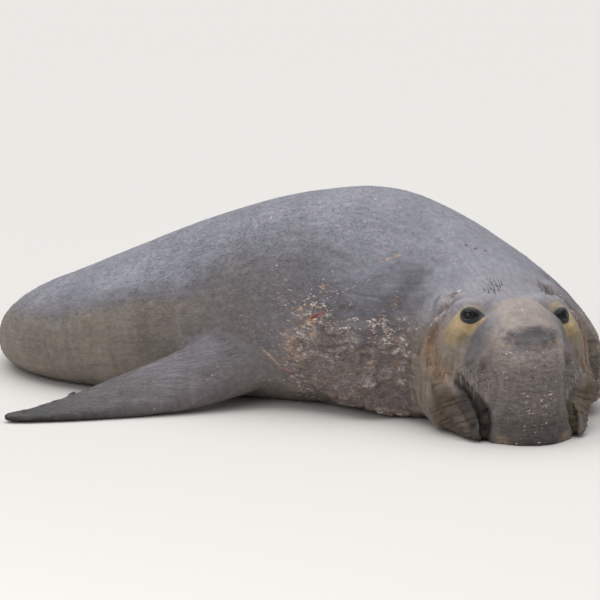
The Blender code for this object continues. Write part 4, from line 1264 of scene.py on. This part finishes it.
def add_whiskers(tree):
    """Pale whiskers on the lip's pads, and dark ones above the eyes, each from its own pit."""
    random = np.random.default_rng(WHISKER_SEED)
    pale = hair_material("whisker_pale", WHISKER_PALE)
    dark = hair_material("whisker_dark", WHISKER_DARK)
    pit = hair_material("whisker_pit", PIT_COLOUR)
    for hand, side in HANDS:
        roots, out = whisker_roots(tree, hand, random)
        start = out * 0.42 + FORWARD * 0.35 - LEFT * (0.25 * hand) - UP * 0.60
        sweep = -UP * 0.30 + FORWARD * 0.10 - LEFT * (0.15 * hand)
        ranges = (0.10, (0.012, 0.040), (0.0006, 0.0010))
        add_hairs("whiskers_" + side, roots, out, start, sweep, ranges, pale, random)
        add_pits("lip_pits_" + side, roots, out, LIP_PIT, pit, -UP * 0.9 + FORWARD * 0.4)
        roots, out = brow_roots(tree, side)
        add_pits("brow_pits_" + side, roots, out, BROW_PIT, pit, -FORWARD * 0.6 + UP * 0.8)
        roots, out = (np.repeat(rows, HAIRS_PER_BROW_ROOT, axis=0) for rows in (roots, out))
        start = out * 0.35 - FORWARD * 0.50 + UP * 0.45
        sweep = -FORWARD * 0.25 - LEFT * 0.25
        ranges = (0.16, (0.014, 0.050), (0.0004, 0.0008))
        add_hairs("brow_whiskers_" + side, roots, out, start, sweep, ranges, dark, random)


def add_pits(name, roots, out, size, material, way):
    """A flat dark pit at the root of each whisker. The size is half its length and half its width."""
    long, wide = size
    way = np.tile(way, (len(roots), 1))
    way = unit(way - out * dot(way, out)[:, None])
    t = np.linspace(-1, 1, 7)
    paths = roots[:, None] + way[:, None] * (t[None, :, None] * long) - out[:, None] * PIT_DEPTH
    radii = np.tile(wide * np.sqrt(np.clip(1.02 - t**2, 0, 1)), (len(roots), 1))
    add_piece(name, tube_mesh(name, paths, radii, 6), material)


def hair_material(name, colour):
    return mottled_material(name, colour, 180.0, (0.75, 1.15), HAIR_ROUGHNESS)


# The coat: how many tufts each piece has, their length and width, and how far their tips stand off the skin
COAT_PIECES = {
    "coat_head": (19000, 0.0065, 0.0013, 0.0006),
    "coat_neck": (19000, 0.0095, 0.0019, 0.0010),
    "coat_shoulder": (19000, 0.0110, 0.0022, 0.0012),
    "coat_loin": (19000, 0.0115, 0.0023, 0.0012),
    "coat_rear": (15000, 0.0110, 0.0023, 0.0012),
    "coat_flippers": (12000, 0.0070, 0.0016, 0.0007),
}
NAIL_PLACES = {
    "left": (
        ((-0.2045, 0.6620, 0.0294), (-0.525, 0.851, 0.019)),
        ((-0.1924, 0.6113, 0.0347), (-0.529, 0.848, 0.012)),
        ((-0.1763, 0.5347, 0.0439), (-0.558, 0.829, 0.023)),
        ((-0.1715, 0.4813, 0.0533), (-0.599, 0.801, 0.012)),
        ((-0.1598, 0.4044, 0.0747), (-0.625, 0.780, 0.001)),
    ),
    "right": (
        ((-0.9996, -1.2321, 0.0294), (-0.975, -0.222, 0.019)),
        ((-0.9549, -1.2053, 0.0347), (-0.976, -0.216, 0.012)),
        ((-0.8889, -1.1630, 0.0439), (-0.983, -0.182, 0.023)),
        ((-0.8475, -1.1291, 0.0533), (-0.991, -0.133, 0.012)),
        ((-0.7844, -1.0835, 0.0747), (-0.995, -0.100, 0.001)),
    ),
}
NAIL_LENGTH = 0.026
NAIL_RADIUS = 0.0046
NAIL_TIP_RADIUS = 0.0006
NAIL_ROOT_DEPTH = 0.008
NAIL_LOWEST = 0.006


def add_nails():
    """Curved nails that grow out of the fore flippers."""
    material = mottled_material("seal_nail", NAIL_COLOUR, 90.0, (0.7, 1.25), NAIL_ROUGHNESS)
    for side, places in NAIL_PLACES.items():
        roots, ways = np.array([p[0] for p in places]), np.array([p[1] for p in places])
        t = np.linspace(0, 1, 9)
        path = roots[:, None] - ways[:, None] * NAIL_ROOT_DEPTH
        path = path + ways[:, None] * (t[None, :, None] * NAIL_LENGTH)
        path[:, :, 2] += -0.001 - 0.008 * t**2
        path[:, :, 2] = np.maximum(path[:, :, 2], NAIL_LOWEST)
        radii = np.tile(NAIL_RADIUS * (1 - t**2.2) ** 0.7 + NAIL_TIP_RADIUS, (len(places), 1))
        add_piece("nails_" + side, tube_mesh("nails_" + side, path, radii, 10), material)


# The size of a tuft's patch on the bake's map, and where the pieces of the trunk's coat end along its line
PATCH = 0.003
NECK_RUN, SHOULDER_RUN, LOIN_RUN, REAR_RUN = 0.75, 1.25, 1.85, 3.30
HEAD_PIECE, FLIPPER_PIECE = 0, 5
HEAD_TOP = 0.56


def coat_piece_of(r):
    """Which piece of the coat every place belongs to."""
    inside = [r.head > 0.5, r.run < NECK_RUN, r.run < SHOULDER_RUN, r.run < LOIN_RUN]
    return np.where(flipper_share(r.points) > 0.5, FLIPPER_PIECE, np.select(inside, [HEAD_PIECE, 1, 2, 3], 4))


def combed(r, out):
    """The way that the coat lies: back from the nose, along the trunk, and out along the flippers."""
    back = r.points - head_place(0.24, 0.0, 0.26)
    back /= np.linalg.norm(back, axis=1)[:, None] + 1e-9
    way = r.heading * (1 - r.head[:, None]) + back * r.head[:, None] - UP * 0.30
    for line in FLIPPERS:
        away, run, heading = along_line(r.points, line)
        share = ((1 - ramp(away, 0.12, 0.20)) * ramp(run, 0.10, 0.35))[:, None]
        way = way * (1 - share) + heading * share
    way = way - out * dot(way, out)[:, None]
    return way / (np.linalg.norm(way, axis=1)[:, None] + 1e-9)


def head_chart(r):
    turn = np.arctan2(r.l, r.f + 0.10) / (2 * math.pi) + 0.5
    return np.column_stack([turn, np.clip(r.u / HEAD_TOP, 0, 1)])


def flipper_chart(r):
    """Every flipper has a quarter of the map, along it one way and round it the other."""
    place = np.zeros((len(r.points), 2))
    nearest = np.full(len(r.points), 9.0)
    for k, line in enumerate(FLIPPERS):
        away, run, heading = along_line(r.points, line)
        offset = r.points - place_on(line, run)
        turn = np.arctan2(dot(offset, np.cross(heading, UP)), offset[:, 2]) / (2 * math.pi) + 0.5
        along = (k % 2) * 0.5 + run / length_of(line) * 0.49
        chart = np.column_stack([along, (k // 2) * 0.5 + turn * 0.49])
        closer = away < nearest
        nearest[closer], place[closer] = away[closer], chart[closer]
    return place


def unwrap(piece, r):
    """Place on a flat unwrap of that part of the skin, from 0 to 1 each way."""
    if piece == HEAD_PIECE:
        return head_chart(r)
    if piece == FLIPPER_PIECE:
        return flipper_chart(r)
    runs = (0.0, NECK_RUN, SHOULDER_RUN, LOIN_RUN, REAR_RUN)
    low, high = runs[piece - 1], runs[piece]
    turn = lie_of(r)[:, 1] / TRUNK_RADIUS / (2 * math.pi) + 0.5
    return np.column_stack([np.clip((r.run - low) / (high - low), 0, 1), turn])


class Roots:
    """Places picked at random over some triangles of the skin, with all that the skin says there."""

    def __init__(self, data, chosen, count, random):
        area = data["area"] * chosen
        share = np.cumsum(area) / area.sum()
        self.data = data
        self.picked = data["triangles"][np.searchsorted(share, random.random(count))]
        a, b = random.random(count), random.random(count)
        over = a + b > 1
        a[over], b[over] = 1 - a[over], 1 - b[over]
        self.weights = np.column_stack([1 - a - b, a, b])
        self.points = self.of("points")
        self.out = unit(self.of("normals"))

    def of(self, name):
        values = self.data[name]
        if values.ndim == 1:
            return dot(values[self.picked], self.weights)
        return np.einsum("ijk,ij->ik", values[self.picked], self.weights)


def skin_arrays(mesh, depth):
    """What the coat needs to know of the skin, as arrays."""
    mesh.calc_loop_triangles()
    triangles = rows_of(mesh.loop_triangles, "vertices", 3, np.int64)
    points, out = coordinates(mesh), normals(mesh)
    a, b, c = (points[triangles[:, k]] for k in range(3))
    tint, marks, r = paint(points, out)
    data = {"triangles": triangles, "area": np.linalg.norm(np.cross(b - a, c - a), axis=1)}
    data |= {"points": points, "normals": out, "tint": tint, "marks": marks, "lie": lie_of(r)}
    data |= {"limb": limb_of(points), "crease": depth, "piece": coat_piece_of(r), "bald": bald_share(r)}
    return data


def write_coat(mesh, roots, shade):
    """Gives every vertex what the skin says at the root of its tuft, with a shade of its own."""
    values = {name: roots.of(name) for name in SKIN_ATTRIBUTES}
    values["tint"] = values["tint"] * shade
    # The tufts take part of the painted shade of the skin's creases
    values["crease"] = values["crease"] * TUFT_CREASE_SHADE
    for name, rows in values.items():
        write_attribute(mesh, name, np.repeat(rows, TUFT_SIZE, axis=0))


def write_patches(mesh, places):
    """The bake's map: every tuft is a small patch at its root's place."""
    flat = np.repeat(places, TUFT_SIZE, axis=0) * (1 - 2 * PATCH) + PATCH
    flat = flat + np.tile(TUFT_PATCH, (len(places), 1)) * PATCH
    corners = rows_of(mesh.loops, "vertex_index", 1, np.int64).ravel()
    layer = mesh.uv_layers.new(name="OFBake")
    layer.data.foreach_set("uv", np.ascontiguousarray(flat[corners], np.float32).ravel())


# The faces of a tuft, its vertices' places on its patch, and how much of the painted shade in the skin's
# creases darkens it
TUFT_FACES = ((3, 4, 1, 0), (4, 5, 2, 1), (5, 3, 0, 2), (6, 4, 3), (6, 5, 4), (6, 3, 5), (0, 1, 2))
TUFT_PATCH = np.array(((-0.3, 0), (0.3, 0), (0, 0.2), (-0.3, 0.5), (0.3, 0.5), (0, 0.4), (0, 1.0)))
TUFT_SIZE = len(TUFT_PATCH)
TUFT_CREASE_SHADE = 0.6
TUFT_LOWEST = 0.0003
COAT_SEED = 11


def lay_normals(mesh, out):
    """Lets the tufts take the light much as the skin below them does."""
    shared = unit(np.repeat(out, TUFT_SIZE, axis=0) * 2.2 + normals(mesh))
    mesh.normals_split_custom_set_from_vertices(shared.tolist())


def tuft_points(roots, way, length, width, rise, random):
    """Seven points for every tuft: three at the root, three half way, and the tip."""
    count = len(roots.points)
    side = np.cross(way, roots.out)
    size = random.uniform(0.65, 1.35, count)[:, None]
    lean = random.normal(0, 0.16, count)[:, None]
    way = way + side * lean
    half = side * (width * 0.5 * size)
    root = roots.points - roots.out * (width * 0.30)
    middle = roots.points + way * (length * 0.5 * size) + roots.out * (rise * 0.75 * size)
    tip = roots.points + way * (length * size) + roots.out * (rise * size) + side * (lean * length * 0.35)
    ridge = roots.out * (width * 0.32)
    rows = [root - half, root + half, root + ridge]
    rows += [middle - half * 0.8, middle + half * 0.8, middle + ridge, tip]
    return np.stack(rows, axis=1)


def joined_mesh(name, rows, faces):
    """One mesh of many small pieces with the same faces."""
    count, each = rows.shape[:2]
    mesh = bpy.data.meshes.new(name)
    first = (np.arange(count) * each)[:, None]
    every = [row for face in faces for row in (first + np.array(face)).tolist()]
    mesh.from_pydata(rows.reshape(-1, 3).tolist(), [], every)
    mesh.update()
    return mesh


def add_coat(data, material):
    """Short flat tufts over the whole animal, in six pieces."""
    random = np.random.default_rng(COAT_SEED)
    piece, bald, crease = (data[name][data["triangles"][:, 0]] for name in ("piece", "bald", "crease"))
    for k, (name, (count, length, width, rise)) in enumerate(COAT_PIECES.items()):
        roots = Roots(data, (piece == k) * (1 - bald) * (0.6 + crease), count, random)
        r = Regions(roots.points)
        rows = tuft_points(roots, combed(r, roots.out), length, width, rise, random)
        rows[:, :, 2] = np.maximum(rows[:, :, 2], TUFT_LOWEST)
        mesh = joined_mesh(name, rows, TUFT_FACES)
        write_coat(mesh, roots, np.clip(random.normal(1.0, 0.07, count)[:, None], 0.7, 1.35))
        write_patches(mesh, unwrap(k, r))
        mesh.shade_smooth()
        lay_normals(mesh, roots.out)
        add_piece(name, mesh, material)


# The studio
SUN_POWER = 2.35
SUN_WIDTH = math.radians(80)
SUN_TURN = (math.radians(-16), math.radians(-6), 0)
LAMP_PLACE, LAMP_AIM = Vector((-3.0, -7.0, 3.0)), Vector((0.2, -0.8, 0.3))
LAMP_SIZE, LAMP_POWER = 4.5, 110
WORLD_COLOUR, WORLD_STRENGTH = (0.92, 0.93, 0.95, 1), 0.64
FLOOR_SIZE, FLOOR_COLOUR, FLOOR_ROUGHNESS = 40, (0.62, 0.60, 0.57, 1), 0.9


def add_floor():
    mesh = bpy.data.meshes.new("studio_floor")
    b = bmesh.new()
    bmesh.ops.create_grid(b, x_segments=1, y_segments=1, size=FLOOR_SIZE)
    b.to_mesh(mesh)
    b.free()
    s = Shader("studio_floor")
    s.put(s.out.inputs["Base Color"], FLOOR_COLOUR)
    s.put(s.out.inputs["Roughness"], FLOOR_ROUGHNESS)
    mesh.materials.append(s.material)
    link("studio_floor", mesh)


def add_light():
    sun = bpy.data.lights.new("soft_sun", "SUN")
    sun.energy = SUN_POWER
    sun.angle = SUN_WIDTH
    link("soft_sun", sun).rotation_euler = SUN_TURN
    lamp = bpy.data.lights.new("front_left", "AREA")
    lamp.shape = "DISK"
    lamp.size = LAMP_SIZE
    lamp.energy = LAMP_POWER
    placed = link("front_left", lamp)
    placed.location = LAMP_PLACE
    placed.rotation_mode = "QUATERNION"
    placed.rotation_quaternion = (LAMP_AIM - LAMP_PLACE).to_track_quat("-Z", "Y")
    world = bpy.data.worlds.new("studio")
    bpy.context.scene.world = world
    world.use_nodes = True
    background = world.node_tree.nodes["Background"]
    background.inputs["Color"].default_value = WORLD_COLOUR
    background.inputs["Strength"].default_value = WORLD_STRENGTH


def add_camera():
    ahead = Vector((0, math.cos(CAMERA_DROP), -math.sin(CAMERA_DROP)))
    above = Vector((0, math.sin(CAMERA_DROP), math.cos(CAMERA_DROP)))
    data = bpy.data.cameras.new("camera")
    data.sensor_width = SENSOR_WIDTH
    data.lens = CAMERA_DISTANCE / METRES_PER_PIXEL / PICTURE_WIDTH * SENSOR_WIDTH
    data.clip_end = CAMERA_DISTANCE * 10
    camera = link("camera", data)
    aim = Vector(CAMERA_AIM) + above * (AIM_BELOW_MIDDLE * METRES_PER_PIXEL)
    camera.location = aim - ahead * CAMERA_DISTANCE
    camera.rotation_mode = "QUATERNION"
    camera.rotation_quaternion = ahead.to_track_quat("-Z", "Y")
    bpy.context.scene.camera = camera


def near_eyes(mesh, reach):
    points = coordinates(mesh)
    away = [np.linalg.norm(points - eye_centre(side), axis=1) for hand, side in HANDS]
    return np.minimum(*away) < reach


def near_marks(mesh, reach):
    points = coordinates(mesh)
    away = [along_line(points, np.array(path))[0] for name, radius, path in MARKS]
    return np.min(away, axis=0) < reach


def model_head(skin):
    """Makes the net of the head finer in steps, with its folds and its round nose pressed in between."""
    mesh = skin.data
    refine(mesh, reach_from(mesh, FRONT_PLACE) < FRONT_REACH)
    smooth(mesh, 4, reach_from(mesh, FRONT_PLACE) < FRONT_REACH + 0.05)
    press_all(skin, HEAD_FOLDS, (1, -1))
    press_all(skin, NOSE_FOLDS, (1,))
    refine(mesh, reach_from(mesh, FACE_PLACE) < FACE_REACH)
    smooth(mesh, 5, reach_from(mesh, FACE_PLACE) < FACE_REACH + 0.03)
    round_the_nose(mesh)


def make_skin(nodes):
    """The whole skin, and how deep its creases are."""
    skin = joined_flesh(nodes)
    mesh = skin.data
    smooth(mesh, BODY_STEPS, ramp(reach_from(mesh, FACE_PLACE), 0.25, 0.70) * 0.6 + 0.4)
    r = Regions(coordinates(mesh))
    smooth(mesh, THROAT_STEPS, np.maximum(r.throat(), r.jowl()) * 0.9, False)
    model_head(skin)
    for reach in EYE_NETS:
        refine(mesh, near_eyes(mesh, reach))
    smooth(mesh, 4, near_eyes(mesh, EYE_SMOOTH_REACH))
    for reach in MARK_NETS:
        refine(mesh, near_marks(mesh, reach))
    shape_lids(mesh)
    depth = roughen(mesh)
    points = coordinates(mesh) - normals(mesh) * COAT_DEPTH
    points[:, 2] = np.maximum(points[:, 2], FLOOR_GAP)
    set_coordinates(mesh, points)
    return skin, depth


def finish_skin(skin, data):
    mesh = skin.data
    for name in SKIN_ATTRIBUTES:
        write_attribute(mesh, name, data[name])
    mesh.materials.clear()
    mesh.materials.append(skin_material("seal_skin"))
    mesh.shade_smooth()
    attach(skin, "root")
    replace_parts(skin, *FLESH)


def bald_share(r):
    """Where no tufts grow: the nose's front, the lids and what lies on the floor."""
    bald = 0.75 * r.nose() + (r.height < 0.004)
    for hand, side in HANDS:
        offset, x, y, z = eye_places(r.points, hand, side)
        lid = almond_distance(x - 0.004, y + 0.001, 0.036, 0.048, 0.030, 0.032)
        bald = np.where((lid < 0.004) & (z > 0), 1, bald)
    return np.clip(bald, 0, 1)


def main():
    clear_scene()
    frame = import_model()
    skin, depth = make_skin(frame["nodes"])
    data = skin_arrays(skin.data, depth)
    finish_skin(skin, data)
    material = eye_material()
    for hand, side in HANDS:
        make_eye(hand, side, material)
    tree = BVHTree.FromPolygons(data["points"].tolist(), data["triangles"].tolist())
    add_whiskers(tree)
    add_nails()
    add_coat(data, skin_material("seal_coat"))
    add_floor()
    add_light()
    add_camera()
    bpy.context.scene.view_settings.view_transform = "Standard"


main()
